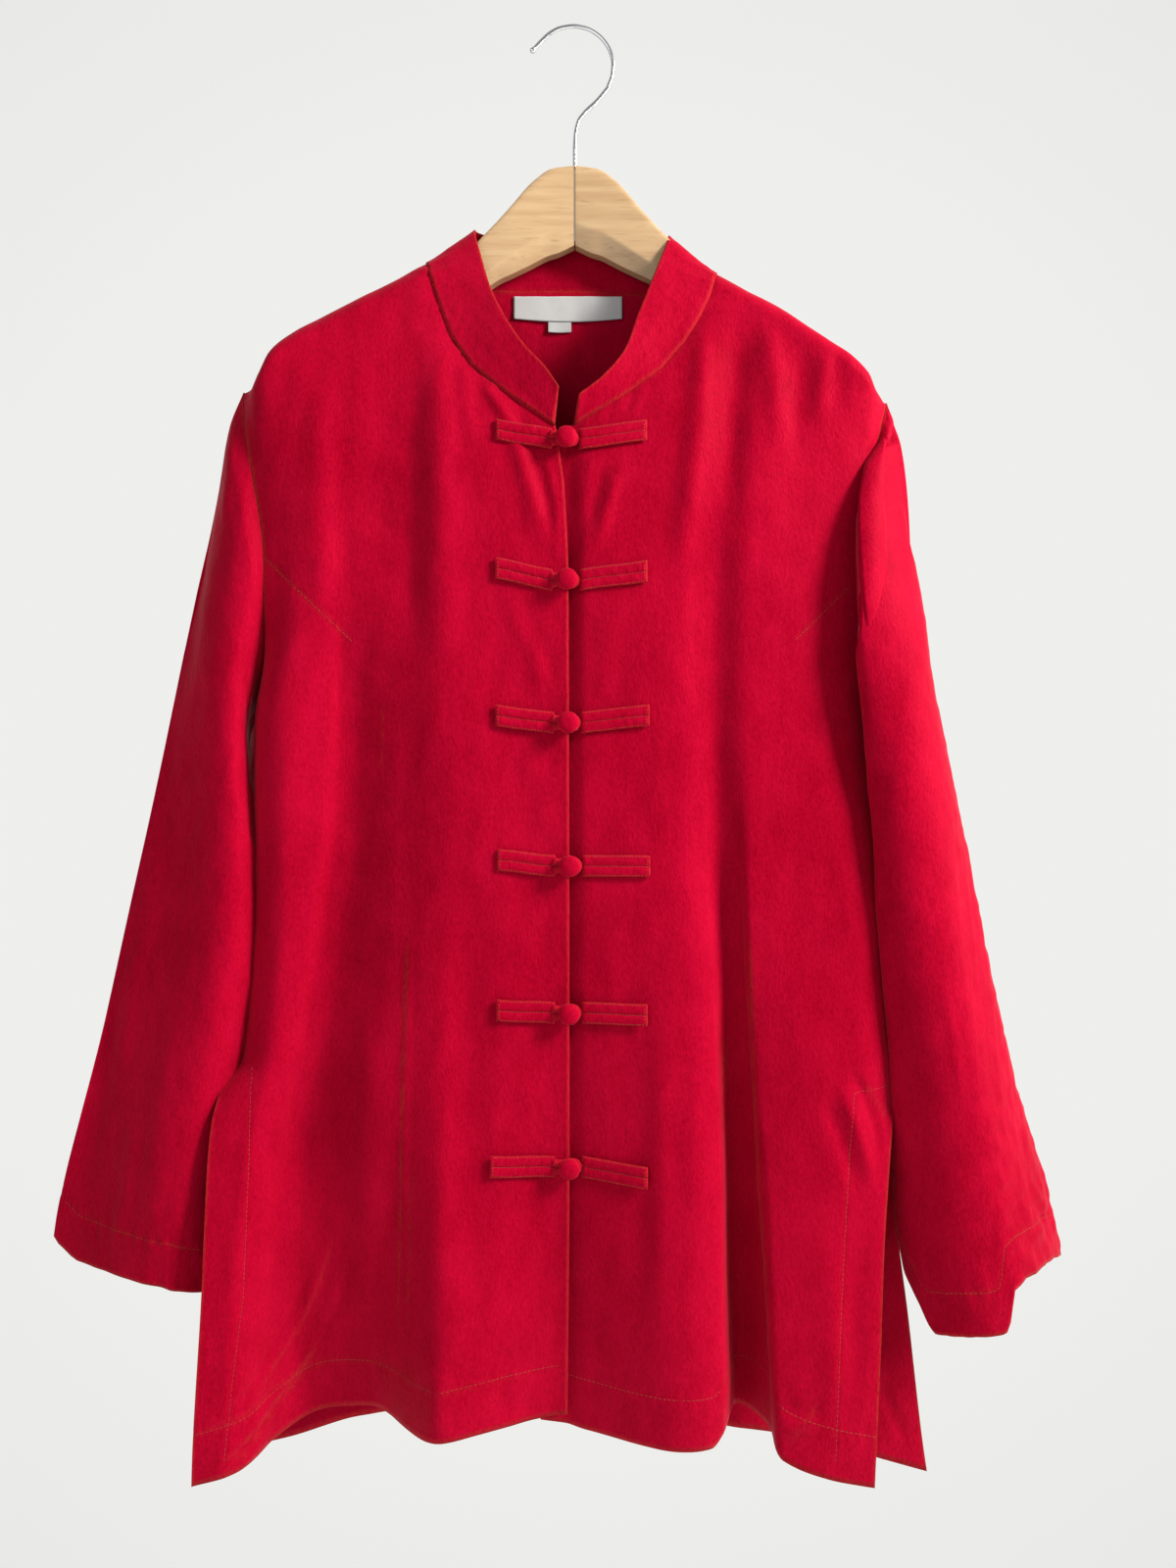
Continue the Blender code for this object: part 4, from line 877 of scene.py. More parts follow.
# Creases on the sleeves' two faces.
SLEEVE_CREASES = {
    "right_front": (
        (-262.0, -330, -272.0, -420, -284.0, -520, -1.4, 7),
        (-300.0, -560, -316.0, -680, -338.0, -800, 1.6, 9),
        (-330.0, -700, -346.0, -790, -360.0, -868, -1.6, 9),
        (-283.0, -700, -292.0, -800, -300.0, -900, 1.4, 9),
        (-312.0, -780, -320.0, -850, -330.0, -900, 1.2, 6),
        (-288.0, -905, -282.0, -925, -279.0, -938, 1.6, 3),
        (-300.0, -890, -294.0, -912, -289.0, -930, -0.9, 4),
        (-268.0, -880, -266.0, -900, -265.0, -920, 1.0, 3.5),
        (-245.0, -310, -247.0, -345, -250.0, -390, 1.1, 4),
        (-352.0, -850, -358.0, -872, -362.0, -892, 0.8, 4),
    ),
    "left_front": (
        (243.0, -330, 252.0, -430, 262.0, -530, -1.2, 6),
        (270.0, -540, 290.0, -680, 312.0, -800, 1.1, 4),
        (284.0, -560, 306.0, -700, 330.0, -840, -1.3, 6),
        (262.0, -560, 278.0, -700, 296.0, -820, -1.0, 5),
        (300.0, -700, 316.0, -790, 330.0, -870, 1.0, 4.5),
        (318.0, -780, 330.0, -840, 342.0, -890, 1.0, 4),
        (300.0, -830, 308.0, -870, 318.0, -905, -1.2, 5),
        (322.0, -842, 330.0, -858, 341.0, -868, 1.4, 3),
        (314.0, -856, 322.0, -872, 334.0, -884, 1.2, 3),
        (330.0, -862, 336.0, -876, 340.0, -892, -1.0, 3),
        (306.0, -880, 314.0, -894, 322.0, -908, 1.2, 3.4),
        (336.0, -838, 343.0, -852, 349.0, -868, 0.9, 3),
        (252.0, -690, 262.0, -740, 270.0, -800, 0.7, 2.6),
        (232.0, -320, 236.0, -350, 240.0, -390, 1.0, 3.4),
    ),
    "right_back": (
        (-262.0, -340, -276.0, -440, -288.0, -540, 1.4, 8),
        (-280.0, -560, -296.0, -690, -312.0, -800, -1.8, 10),
        (-316.0, -640, -332.0, -740, -346.0, -840, 1.6, 8),
        (-276.0, -740, -286.0, -820, -296.0, -900, 1.4, 9),
        (-330.0, -860, -338.0, -880, -344.0, -900, 1.0, 4),
    ),
    "left_back": (
        (246.0, -350, 256.0, -440, 266.0, -540, 1.4, 8),
        (258.0, -560, 276.0, -690, 292.0, -800, -1.8, 10),
        (290.0, -640, 306.0, -740, 322.0, -840, 1.6, 8),
        (256.0, -740, 264.0, -820, 272.0, -890, 1.4, 9),
        (316.0, -860, 322.0, -880, 328.0, -896, 1.0, 4),
    ),
}
# Bust darts: the stitched line from the armhole to its tip.
DARTS = {"right": ((-219.0, -401.4), (-158.2, -459.7)), "left": ((197.0, -420.0), (156.0, -460.0))}
# The stitched line of the facing beside each slit, on the fronts, with the line over its top.
FACINGS = {
    "right": ((-229.0, -762.0), (-229.0, -825.0), (-232.0, -920.0), (-238.0, -978.0), (-242.0, -1030.0)),
    "left": ((224.0, -775.0), (196.5, -778.0), (190.0, -860.0), (185.0, -940.0), (180.5, -1032.0)),
}
# Nearly the length of a dart, for its gathers, and the distance round a sleeve, for its own.
DART_LENGTH = 80
SLEEVE_ROUND = 400
# Distances over the cloth: of the hem's, cuffs' and back facings' stitches from their edges, of the
# facings' tops below the slits, and of the place where creases come to their full height from a seam.
HEM_BAND = 34.7
CUFF_BAND = 31.0
FACING_BAND = 35.0
STITCH_BELOW_SLIT = 8
HELD_BY_SEAM = 14
# The left sleeve's front ridge: depths below the hook and x. Outside it the cloth is crinkled.
LEFT_RIDGE = ((310, 390, 506, 598, 690, 771, 869, 938), (219, 222, 236, 251, 262, 274, 288, 305))
# Section of the wood, from the middle of its back over the top to the bevel under its front.
WOOD_SECTION = {
    "place": (0.0, 0.10, 0.13, 0.16, 0.34, 0.37, 0.40, 0.66, 0.76, 0.86, 0.90, 1.0),
    "across": (1.0, 1.0, 0.93, 0.80, -0.80, -0.94, -1.0, -1.0, -0.35, 0.86, 1.0, 1.0),
    "along": (0.0, 0.82, 0.95, 1.0, 1.0, 0.95, 0.82, -0.50, -1.0, -1.0, -0.84, 0.0),
}
# How far the collar's lower edge lies over the body.
COLLAR_OVER_BODY = 0.7
# How far its lower edge runs on into the seam, and a place inside it, to tell its outer face.
COLLAR_LAP = 1.6
COLLAR_CENTRE = (0.0, -20.0, -220.0)
# The round end of the hook's wire.
HOOK_BALL = 2.3
# The right front's edge, where the left one lies under it: x and depth below the hook.
CENTRE_LINE = ((-8, -3, -2, -1, -1.5, -2, -4, -5), (321, 363, 490, 632, 727, 819, 914, 1013))
# How far a sleeve's inner edge is tucked in behind the body's side, along the sleeve: shares and sizes.
TUCK = {
    "right": ((0.10, 0.20, 0.30, 0.40, 0.50, 0.65, 0.80), (0.0, 9.0, 15.0, 16.0, 15.0, 8.0, 0.0)),
    "left": ((0.10, 0.22, 0.35, 0.50, 0.60, 0.75, 0.92, 1.0), (0.0, 4.0, 6.5, 5.0, 3.5, 5.0, 6.0, 1.0)),
}
TUCK_BACK = 0.1
# How far one piece's cloth runs on into the next inside a seam.
SEAM_LAP = 0.9
STITCH_LENGTH = 2.4
STITCH_GAP = 0.9
STITCH_RADIUS = 0.2
# Along a stitch: share of its length, share of its radius, and rise in radii.
STITCH_PROFILE = ((0.0, 0.35, -0.2), (0.2, 0.9, 0.55), (0.8, 0.9, 0.55), (1.0, 0.35, -0.2))

SILK_SHEEN = {
    "Specular IOR Level": 0.02,
    "Sheen Weight": 0.20,
    "Sheen Roughness": 0.40,
    "Sheen Tint": (1.0, 0.16, 0.20, 1.0),
    "Specular Tint": (1.0, 0.22, 0.26, 1.0),
}
SILK_DEEP = (0.26, 0.0, 0.010, 1.0)
SILK_LIGHT = (0.41, 0.002, 0.023, 1.0)
# Worn brown-red of edges and seams, also used as painted highlight along creases.
SILK_WORN_AND_HIGHLIT = (0.27, 0.030, 0.010, 1.0)
THREAD = (0.20, 0.022, 0.006, 1.0)
THREAD_WORN = (0.34, 0.050, 0.014, 1.0)
IVORY_DEEP = (0.44, 0.435, 0.42, 1.0)
IVORY = (0.52, 0.515, 0.50, 1.0)
CHROME_DEEP = (0.70, 0.70, 0.71, 1.0)
CHROME = (0.84, 0.84, 0.85, 1.0)
# The wood's ground, its grain and its flecks.
BEECH = ((0.54, 0.36, 0.19), (0.44, 0.27, 0.13), (0.30, 0.17, 0.08))
PALE = (0.86, 0.86, 0.85, 1.0)
JOINT_LINE = 0.9
JOINT_DARK = (0.09, 0.045, 0.02, 1.0)
WORLD_FRONT = (0.25, 0.25, 0.26, 1.0)
WORLD_BACK = (0.86, 0.86, 0.84, 1.0)
FLOOR = ((-1600, -1800, -1400), (1600, -1800, -1400), (1600, 400, -1400), (-1600, 400, -1400))
# Lights in metres and watts: name, place, aim, size, power and colour.
LIGHTS = (
    ("key", (1.4, -0.72, 0.45), (0.0, 0.0, -0.6), (0.4, 0.6), 66, (1.0, 0.98, 0.95)),
    ("rim", (1.6, -0.3, -0.45), (0.3, 0.0, -0.6), (0.4, 1.0), 13, (1.0, 0.97, 0.94)),
    ("fill", (-1.0, -1.6, -0.2), (0.0, 0.0, -0.6), (1.6, 1.6), 10, (0.96, 0.98, 1.0)),
)
# The camera: the sensor's height, the focal length in the photograph's pixels, and its place.
SENSOR = 36
FOCAL_PIXELS = 1257.14
PHOTO_HEIGHT = 1600
CAMERA_PLACE = (9.8, -915.0, -561.1)


def through(row, steps=24):
    """Points of the curve through a row's three places, as x and z."""
    x0, z0, x1, z1, x2, z2 = row[:CREASE_SIZES]
    t = np.linspace(0, 1, steps + 1)
    bend_x = 2 * x1 - (x0 + x2) / 2
    bend_z = 2 * z1 - (z0 + z2) / 2
    x = (1 - t) ** 2 * x0 + 2 * t * (1 - t) * bend_x + t**2 * x2
    z = (1 - t) ** 2 * z0 + 2 * t * (1 - t) * bend_z + t**2 * z2
    return x, z


def along_line(x, z, line_x, line_z):
    """Distance of each point from a line of points, and the share of the line at the nearest place."""
    best = np.full(np.shape(x), np.inf)
    share = np.zeros(np.shape(x))
    last = len(line_x) - 1
    for i in range(last):
        dx = line_x[i + 1] - line_x[i]
        dz = line_z[i + 1] - line_z[i]
        t = np.clip(((x - line_x[i]) * dx + (z - line_z[i]) * dz) / (dx * dx + dz * dz), 0, 1)
        away = np.hypot(x - line_x[i] - t * dx, z - line_z[i] - t * dz)
        nearer = away < best
        best = np.where(nearer, away, best)
        share = np.where(nearer, (i + t) / last, share)
    return best, share


def groove(away, width=0.9):
    """1 on a line and 0 away from it."""
    return np.exp(-((away / width) ** 2))


def fade(share, ends):
    """1 along a line, and 0 at both its ends."""
    return smooth(share / ends) * smooth((1 - share) / ends)


def crease_relief(rows, x, z):
    """Height of the creases at each point, each one fading out at both its ends."""
    total = np.zeros(np.shape(x))
    for row in rows:
        height, width = row[CREASE_SIZES:]
        line_x, line_z = through(row)
        reach = 3 * width
        near = (x > line_x.min() - reach) & (x < line_x.max() + reach)
        near &= (z > line_z.min() - reach) & (z < line_z.max() + reach)
        away, share = along_line(x[near], z[near], line_x, line_z)
        total[near] += height * fade(share, CREASE_ENDS) * groove(away, width)
    return total


def fold_relief(rows, x, z):
    """The same for folds that are steeper on one side."""
    total = np.zeros(np.shape(x))
    for row in rows:
        height, left_width, right_width = row[CREASE_SIZES:]
        line_x, line_z = through(row)
        away, share = along_line(x, z, line_x, line_z)
        on_left = x < np.interp(-z, -line_z, line_x)
        total += height * fade(share, CREASE_ENDS) * groove(away, np.where(on_left, left_width, right_width))
    return total


def worn_and_highlit_lines(rows, x, z):
    """Paler colour along creases, in broken lengths: partly wear of pressed creases, partly painted
    highlight.
    """
    total = np.zeros(np.shape(x))
    for row in rows:
        strength, width = row[CREASE_SIZES:]
        away, share = along_line(x, z, *through(row))
        broken = 0.65 + 0.35 * np.sin(40 * share + 3 * np.sin(17 * share))
        total += strength * broken * fade(share, WORN_AND_HIGHLIT_ENDS) * groove(away, width)
    return total


def worn(*edges):
    """Wear along edges and seams: each has its strength, the distance from it and its width."""
    return sum(strength * groove(away, width) for strength, away, width in edges)


def wobble(x, z, seed, length, stretch=1.0):
    """Uneven soft waves about length across, stretched up and down, from -1 to 1."""
    random = np.random.default_rng(seed)
    total = np.zeros(np.shape(x))
    for _ in range(WAVES):
        angle = random.uniform(0, 2 * math.pi)
        pitch = length * random.uniform(0.6, 1.6)
        phase = random.uniform(0, 2 * math.pi)
        along = x * math.cos(angle) + z / stretch * math.sin(angle)
        total += np.sin(2 * math.pi * along / pitch + phase)
    return total * 2 / WAVES


def unevenness(x, z, seed):
    """What a large panel of cloth keeps of swells and of slight waves."""
    return 0.7 * wobble(x, z, seed, 90, 2.2) + 0.22 * wobble(x, z, seed + 10, 24, 1.6)


def pucker(x, z, away, along, seed, pitch=7.0, reach=7.0):
    """Small gathers across a stitched line: along is the place on it, away the distance from it."""
    uneven = wobble(x, z, seed, 26)
    gathers = np.sin(2 * math.pi * along / pitch + 2.2 * uneven)
    return gathers * (0.6 + 0.4 * uneven) * np.exp(-np.abs(away) / reach)


def turned_band(away, width):
    """The stitched groove of a band turned in at an edge, and its double cloth."""
    return 0.25 * smooth(-away / 2) - 0.35 * groove(away, width)


def unit(ways):
    """The same ways, each of length 1."""
    return ways / np.maximum(np.linalg.norm(ways, axis=-1, keepdims=True), 1e-9)


def length_along(points):
    """How far along a line of points each one lies."""
    return np.concatenate([[0], np.cumsum(np.linalg.norm(np.diff(points, axis=0), axis=1))])


def normals_of(points, closed):
    """Unit normals of a grid of points, up x across x 3."""
    if closed:
        around = np.concatenate([points[:, -2:-1], points, points[:, 1:2]], axis=1)
        across = (around[:, 2:] - around[:, :-2]) / 2
    else:
        across = np.gradient(points, axis=1)
    return unit(np.cross(np.gradient(points, axis=0), across))


def facing(points, way):
    """The normals that look to the front, where way is -1, or to the back, where it is 1."""
    normals = normals_of(points, False)
    return normals * np.where(normals[..., 1:2] * way < 0, -1, 1)


def grid_of(point, across, up):
    u, v = np.meshgrid(np.linspace(0, 1, across + 1), np.linspace(0, 1, up + 1))
    points = point(u.ravel(), v.ravel()).reshape(up + 1, across + 1, 3)
    return u, v, points


def placed(name, data):
    """A new object of the scene with this mesh, light or camera."""
    obj = bpy.data.objects.new(name, data)
    bpy.context.scene.collection.objects.link(obj)
    return obj


def mesh_object(name, points, faces):
    """A smooth mesh in the scene, from points in millimetres."""
    mesh = bpy.data.meshes.new(name)
    mesh.from_pydata((np.asarray(points) * MM).tolist(), [], faces)
    mesh.shade_smooth()
    return placed(name, mesh)


def set_wear(mesh, wear):
    layer = mesh.attributes.new("wear", "FLOAT", "POINT")
    layer.data.foreach_set("value", np.clip(wear, 0, 1).astype(np.float32))


def grid_object(name, points, closed=False, wear=None):
    """A mesh of quads over a grid of points in millimetres, closed round its columns if asked."""
    rows, columns = points.shape[:2]
    used = columns - 1 if closed else columns
    i, j = np.meshgrid(np.arange(rows - 1), np.arange(columns - 1), indexing="ij")
    next_j = (j + 1) % used if closed else j + 1
    corners = (i * used + j, i * used + next_j, (i + 1) * used + next_j, (i + 1) * used + j)
    faces = np.stack(corners, axis=-1).reshape(-1, 4).tolist()
    obj = mesh_object(name, points[:, :used].reshape(-1, 3), faces)
    set_wear(obj.data, np.zeros(rows * used) if wear is None else wear[:, :used].ravel())
    return obj


def close_up(mesh):
    """Fills the open ends of a mesh and turns its faces outward."""
    bm = bmesh.new()
    bm.from_mesh(mesh)
    bmesh.ops.holes_fill(bm, edges=[edge for edge in bm.edges if edge.is_boundary], sides=0)
    bmesh.ops.recalc_face_normals(bm, faces=bm.faces)
    bm.to_mesh(mesh)
    bm.free()


def dress(obj, finish, slot, *nodes):
    """Gives a piece its material and its place in the frame."""
    obj.data.materials.append(finish)
    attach(obj, "root")
    if nodes:
        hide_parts(*nodes)
    return obj


def stitch_line(points, outward, length=STITCH_LENGTH, gap=STITCH_GAP):
    """The stitches along a line of points on the cloth: their first ends, last ends and outward ways."""
    place = length_along(points)
    starts = np.arange(gap, place[-1] - length, length + gap)

    def at(stations, values):
        return np.stack([np.interp(stations, place, values[:, k]) for k in range(3)], axis=1)

    return at(starts, points), at(starts + length, points), unit(at(starts + length / 2, outward))


def stitches_object(name, lines, radius=STITCH_RADIUS):
    """Every stitch as a small four-sided bead, low at its ends and raised in the middle."""
    verts = []
    faces = []
    for first, last, way in lines:
        for a, b, out in zip(first, last, way):
            side = np.cross(unit(b - a), out)
            start = len(verts)
            for share, size, lift in STITCH_PROFILE:
                centre = a + (b - a) * share + out * radius * lift
                for turn_side, turn_out in ((1, 0), (0, 1), (-1, 0), (0, -1)):
                    corner = side * turn_side * 0.9 + out * turn_out * 0.7
                    verts.append(centre + corner * radius * size)
            for ring in range(3):
                for k in range(4):
                    low = start + ring * 4
                    faces.append((low + k, low + (k + 1) % 4, low + 4 + (k + 1) % 4, low + 4 + k))
            faces.append((start + 3, start + 2, start + 1, start))
            faces.append((start + 12, start + 13, start + 14, start + 15))
    return mesh_object(name, verts, faces)


class Panel:
    """A finished grid of cloth: its points, its outward ways and its shell, for what lies on it."""

    def __init__(self, name, points, way, wear=None, wall=SHELL, closed=False):
        self.points = points
        self.way = way
        self.wall = wall
        self.object = grid_object(name, points, closed, wear)
        solid = self.object.modifiers.new("wall", "SOLIDIFY")
        solid.thickness = wall * MM
        solid.offset = 0

    def line(self, places, lift=0.0):
        """Points on the outer face at a list of grid places (row, column), with their outward ways."""
        rows, columns = np.array(places, float).T
        i = np.clip(np.floor(rows).astype(int), 0, self.points.shape[0] - 2)
        j = np.clip(np.floor(columns).astype(int), 0, self.points.shape[1] - 2)
        a = (rows - i)[:, None]
        b = (columns - j)[:, None]
        found = []
        for grid in (self.points, self.way):
            low = grid[i, j] * (1 - b) + grid[i, j + 1] * b
            high = grid[i + 1, j] * (1 - b) + grid[i + 1, j + 1] * b
            found.append(low * (1 - a) + high * a)
        outward = unit(found[1])
        return found[0] + outward * (self.wall / 2 + lift), outward

    def nearest(self, x, z):
        """The grid place nearest to x and z."""
        gap = (self.points[..., 0] - x) ** 2 + (self.points[..., 2] - z) ** 2
        return np.unravel_index(np.argmin(gap), gap.shape)

    def place(self, x, z):
        """The grid place at x and z, between rows and columns too."""
        flat = self.points[..., ::2]
        i, j = (np.clip(at, 1, size - 2) for at, size in zip(self.nearest(x, z), flat.shape))
        ways = np.stack([flat[i + 1, j] - flat[i - 1, j], flat[i, j + 1] - flat[i, j - 1]], axis=1) / 2
        more = np.clip(np.linalg.solve(ways, (x, z) - flat[i, j]), -1, 1)
        return i + more[0], j + more[1]

    def path(self, stations, step=3.0):
        """Grid places along straight lines from one x and z to the next."""
        x, z = np.array(stations).T
        length = length_along(np.array(stations))
        at = np.linspace(0, length[-1], int(length[-1] / step) + 2)
        return [self.place(a, b) for a, b in zip(np.interp(at, length, x), np.interp(at, length, z))]


def edge_distance(points):
    """Distances over the cloth from its first and last column and row, in millimetres."""
    across = np.linalg.norm(np.diff(points, axis=1), axis=2)
    up = np.linalg.norm(np.diff(points, axis=0), axis=2)
    left = np.concatenate([np.zeros((len(points), 1)), np.cumsum(across, axis=1)], axis=1)
    low = np.concatenate([np.zeros((1, points.shape[1])), np.cumsum(up, axis=0)], axis=0)
    return left, left[:, -1:] - left, low, low[-1:] - low


def let_in(points, amount=SEAM_LAP):
    """The same grid with its last row drawn on, so that cloth meets cloth inside a seam."""
    grown = points.copy()
    grown[-1] += unit(points[-1] - points[-2]) * amount
    return grown


def let_in_side(points, edge, slit_z):
    """The same grid with its first or last column drawn on above the slit."""
    inner = 1 if edge == 0 else -2
    share = smooth((points[:, edge, 2] - slit_z) / 6)[:, None]
    grown = points.copy()
    grown[:, edge] += unit(points[:, edge] - points[:, inner]) * SEAM_LAP * share
    return grown


def front_panel(side):
    _, _, points = grid_of(lambda a, b: front_point(side, a, b * ROWS), *FINE["front"])
    way = facing(points, TO_FRONT)
    x, z = points[..., 0], points[..., 2]
    outer, inner, low, top = edge_distance(points)
    relief = crease_relief(CREASES[side], x, z) + fold_relief(STEEP_FOLDS[side], x, z)
    relief += unevenness(x, z, SEEDS[side])
    relief *= smooth(np.minimum(outer, top) / HELD_BY_SEAM)
    below_neck = smooth((NECK_CORNER_Z[side] - z) / 20)
    if side == "right":
        relief *= 0.35 + 0.65 * smooth(inner / 10)
        relief += 0.8 * np.exp(-inner / 4) * below_neck
    else:
        centre_x = np.interp(-z, CENTRE_LINE[1], CENTRE_LINE[0])
        relief -= 0.7 * groove(x - centre_x, 7) * below_neck
    dart_away, dart_share = along_line(x, z, *np.array(DARTS[side]).T)
    in_dart = smooth((1 - dart_share) / 0.15)
    relief -= 0.55 * groove(dart_away, 1.1) * in_dart
    relief += 0.25 * pucker(x, z, dart_away, dart_share * DART_LENGTH, 31) * in_dart
    hem = low - HEM_BAND
    relief += turned_band(hem, 1.1) + 0.3 * pucker(x, z, hem, x, 33, pitch=9)
    in_slit = smooth((SLIT_TOP_Z[side] - STITCH_BELOW_SLIT - z) / 6)
    facing_away, _ = along_line(x, z, *np.array(FACINGS[side]).T)
    relief -= 0.3 * groove(facing_away, 1.1)
    relief += 0.22 * pucker(x, z, facing_away, z, 35, pitch=10) * in_slit
    in_armhole = smooth((z - UNDERARM_Z) / 20) * smooth(outer / 2)
    relief += 0.35 * pucker(x, z, outer, z, 36, pitch=8, reach=9) * in_armhole
    on_neck = smooth((z - NECK_CORNER_Z[side]) / 12)
    relief += 0.4 * pucker(x, z, inner, z - x * 0.5, 37, pitch=11, reach=10) * on_neck
    points = let_in_side(let_in(points + way * relief[..., None]), 0, SLIT_TOP_Z[side])
    wear = worn((0.8, outer, 1.3), (0.5, inner, 1.2), (0.7, low, 1.2), (0.5, top, 1.4), (0.22, hem, 1.2))
    # Wear along the dart, and crease lines that are partly wear and partly painted highlight.
    wear += 0.35 * groove(dart_away, 1.1) * in_dart + worn_and_highlit_lines(WORN_AND_HIGHLIT_LINES[side], x, z)
    again = normals_of(points, False)
    again *= np.sign(way[..., 1:2] * again[..., 1:2])
    return Panel(f"front_{side}_cloth", points, again, wear)


def back_panel():
    _, _, points = grid_of(lambda a, b: back_point(a, b * ROWS), *FINE["back"])
    way = facing(points, TO_BACK)
    x, z = points[..., 0], points[..., 2]
    right, left, low, top = edge_distance(points)
    sides = np.minimum(right, left)
    relief = crease_relief(CREASES["back"], x, z) + unevenness(x, z, SEEDS["back"])
    relief *= smooth(np.minimum(sides, top) / HELD_BY_SEAM)
    hem = low - HEM_BAND
    relief += turned_band(hem, 1.2) + 0.3 * pucker(x, z, hem, x, 43, pitch=9)
    in_slit = smooth((SLIT_TOP_Z["right"] - 14 - z) / 6)
    relief -= 0.3 * groove(sides - FACING_BAND, 1.2) * in_slit
    in_armhole = smooth((z - UNDERARM_Z) / 20) * smooth(sides / 2)
    relief += 0.35 * pucker(x, z, sides, z, 46, pitch=8, reach=9) * in_armhole
    neck_away = np.where(np.abs(x) < 100, top, 99)
    relief += 0.3 * pucker(x, z, neck_away, x, 47, pitch=11, reach=9)
    points = let_in(points + way * relief[..., None])
    for edge, side in ((0, "right"), (-1, "left")):
        points = let_in_side(points, edge, SLIT_TOP_Z[side])
    wear = worn((0.8, sides, 1.3), (0.7, low, 1.2), (0.5, top, 1.4), (0.2, hem, 1.2))
    return Panel("back_cloth", points, facing(points, TO_BACK), wear)


def sleeve_panel(side):
    u, v, points = grid_of(lambda a, b: sleeve_point(side, a, b**SLEEVE_CROWDING), *FINE["sleeve"])
    s = v**SLEEVE_CROWDING
    share = 1 - np.abs(2 * u - 1)
    tuck = np.interp(s, *TUCK[side]) * smooth((share - 0.3) / 0.4)
    points[..., 0] -= WAY_OUT[side] * tuck
    points[..., 1] += TUCK_BACK * tuck
    way = normals_of(points, True)
    centre = points[:, :-1].mean(axis=1, keepdims=True)
    way *= np.sign(np.sum(way * (points - centre), axis=(1, 2), keepdims=True))
    x, z = points[..., 0], points[..., 2]
    front = u < 0.5
    _, _, low, to_cuff = edge_distance(points)
    from_edge = np.abs(np.sin(2 * math.pi * u))
    relief = crease_relief(SLEEVE_CREASES[side + "_front"], x, z)
    relief += fold_relief(STEEP_FOLDS["sleeve_" + side], x, z)
    relief = np.where(front, relief, crease_relief(SLEEVE_CREASES[side + "_back"], x, z))
    seed = SEEDS["sleeve_" + side]
    relief += 0.6 * wobble(x, z, seed, 70, 2.4)
    relief += 0.25 * wobble(x + np.where(front, 0, 400), z, seed + 10, 20, 1.8)
    if side == "left":
        beyond = smooth((x - np.interp(-z, *LEFT_RIDGE)) / 6) * front
        crinkle = wobble(x, z, 71, 7, 2.6) + 0.6 * wobble(x, z, 72, 12, 1.2)
        relief += 0.55 * crinkle * beyond * (0.35 + 0.65 * smooth((s - 0.35) / 0.6))
    relief *= smooth(low / 16) * smooth(from_edge / 0.35)
    cuff = to_cuff - CUFF_BAND
    relief += turned_band(cuff, 1.2)
    around = u * SLEEVE_ROUND
    gathered = 0.7 * pucker(x, z, cuff, around, seed + 20, pitch=10, reach=12)
    gathered += 0.4 * pucker(x, z, low, around, seed + 30, pitch=13, reach=12) * smooth(low / 3)
    relief += gathered * smooth(from_edge / 0.2)
    points = let_in((points + way * relief[..., None])[::-1])[::-1]
    again = normals_of(points, True)
    again *= np.sign(np.sum(again * way, axis=2, keepdims=True))
    wear = worn((0.8, low, 1.4), (0.8, to_cuff, 1.3), (0.2, cuff, 1.2))
    return Panel(f"sleeve_{side}_cloth", points, again, wear, closed=True)


def collar_panel():
    _, _, points = grid_of(collar_point, *FINE["collar"])
    way = normals_of(points, False)
    way *= np.sign(np.sum(way * (points - COLLAR_CENTRE), axis=2, keepdims=True))
    x, z = points[..., 0], points[..., 2]
    first, last, low, top = edge_distance(points)
    relief = 0.35 * wobble(x, z, 51, 46) + 0.16 * wobble(x, z, 52, 15)
    relief += 0.3 * pucker(x, z, low, first, 53, pitch=12, reach=9)
    relief *= smooth(np.minimum(np.minimum(low, top), np.minimum(first, last)) / 5)
    relief += COLLAR_OVER_BODY * np.exp(-low / 6)
    points = let_in((points + way * relief[..., None])[::-1], COLLAR_LAP)[::-1]
    wear = worn((0.75, top, 1.3), (0.5, low, 1.2), (0.7, first, 1.2), (0.7, last, 1.2))
    return Panel("collar_cloth", points, way, wear, COLLAR_SHELL)


def new_material(name):
    made = bpy.data.materials.new(name)
    made.use_nodes = True
    return made, made.node_tree, made.node_tree.nodes["Principled BSDF"]


def set_values(node, values):
    for name, value in values.items():
        node.inputs[name].default_value = value


def add(tree, kind, links=None, values=None, **settings):
    """A node with its plain settings, its socket values and links to its sockets."""
    node = tree.nodes.new(kind)
    for name, value in settings.items():
        setattr(node, name, value)
    set_values(node, values or {})
    for name, source in (links or {}).items():
        tree.links.new(source, node.inputs[name])
    return node


def noise(tree, vector, scale, detail=3.0, rough=0.55):
    values = {"Scale": scale, "Detail": detail, "Roughness": rough}
    return add(tree, "ShaderNodeTexNoise", {"Vector": vector}, values).outputs["Fac"]


def feed(tree, socket, value):
    """Sets a socket to a plain value, or links an output to it."""
    if isinstance(value, (int, float, tuple)):
        socket.default_value = value
    else:
        tree.links.new(value, socket)


def math_node(tree, operation, a, b):
    node = add(tree, "ShaderNodeMath", operation=operation)
    feed(tree, node.inputs[0], a)
    feed(tree, node.inputs[1], b)
    return node.outputs[0]


def spread(tree, value, low, high):
    """value stretched so that low becomes 0 and high becomes 1."""
    ends = {"From Min": low, "From Max": high}
    return add(tree, "ShaderNodeMapRange", {"Value": value}, ends).outputs["Result"]


def mix_colour(tree, factor, a, b):
    node = add(tree, "ShaderNodeMix", data_type="RGBA")
    for index, value in ((0, factor), (6, a), (7, b)):
        feed(tree, node.inputs[index], value)
    return node.outputs[2]


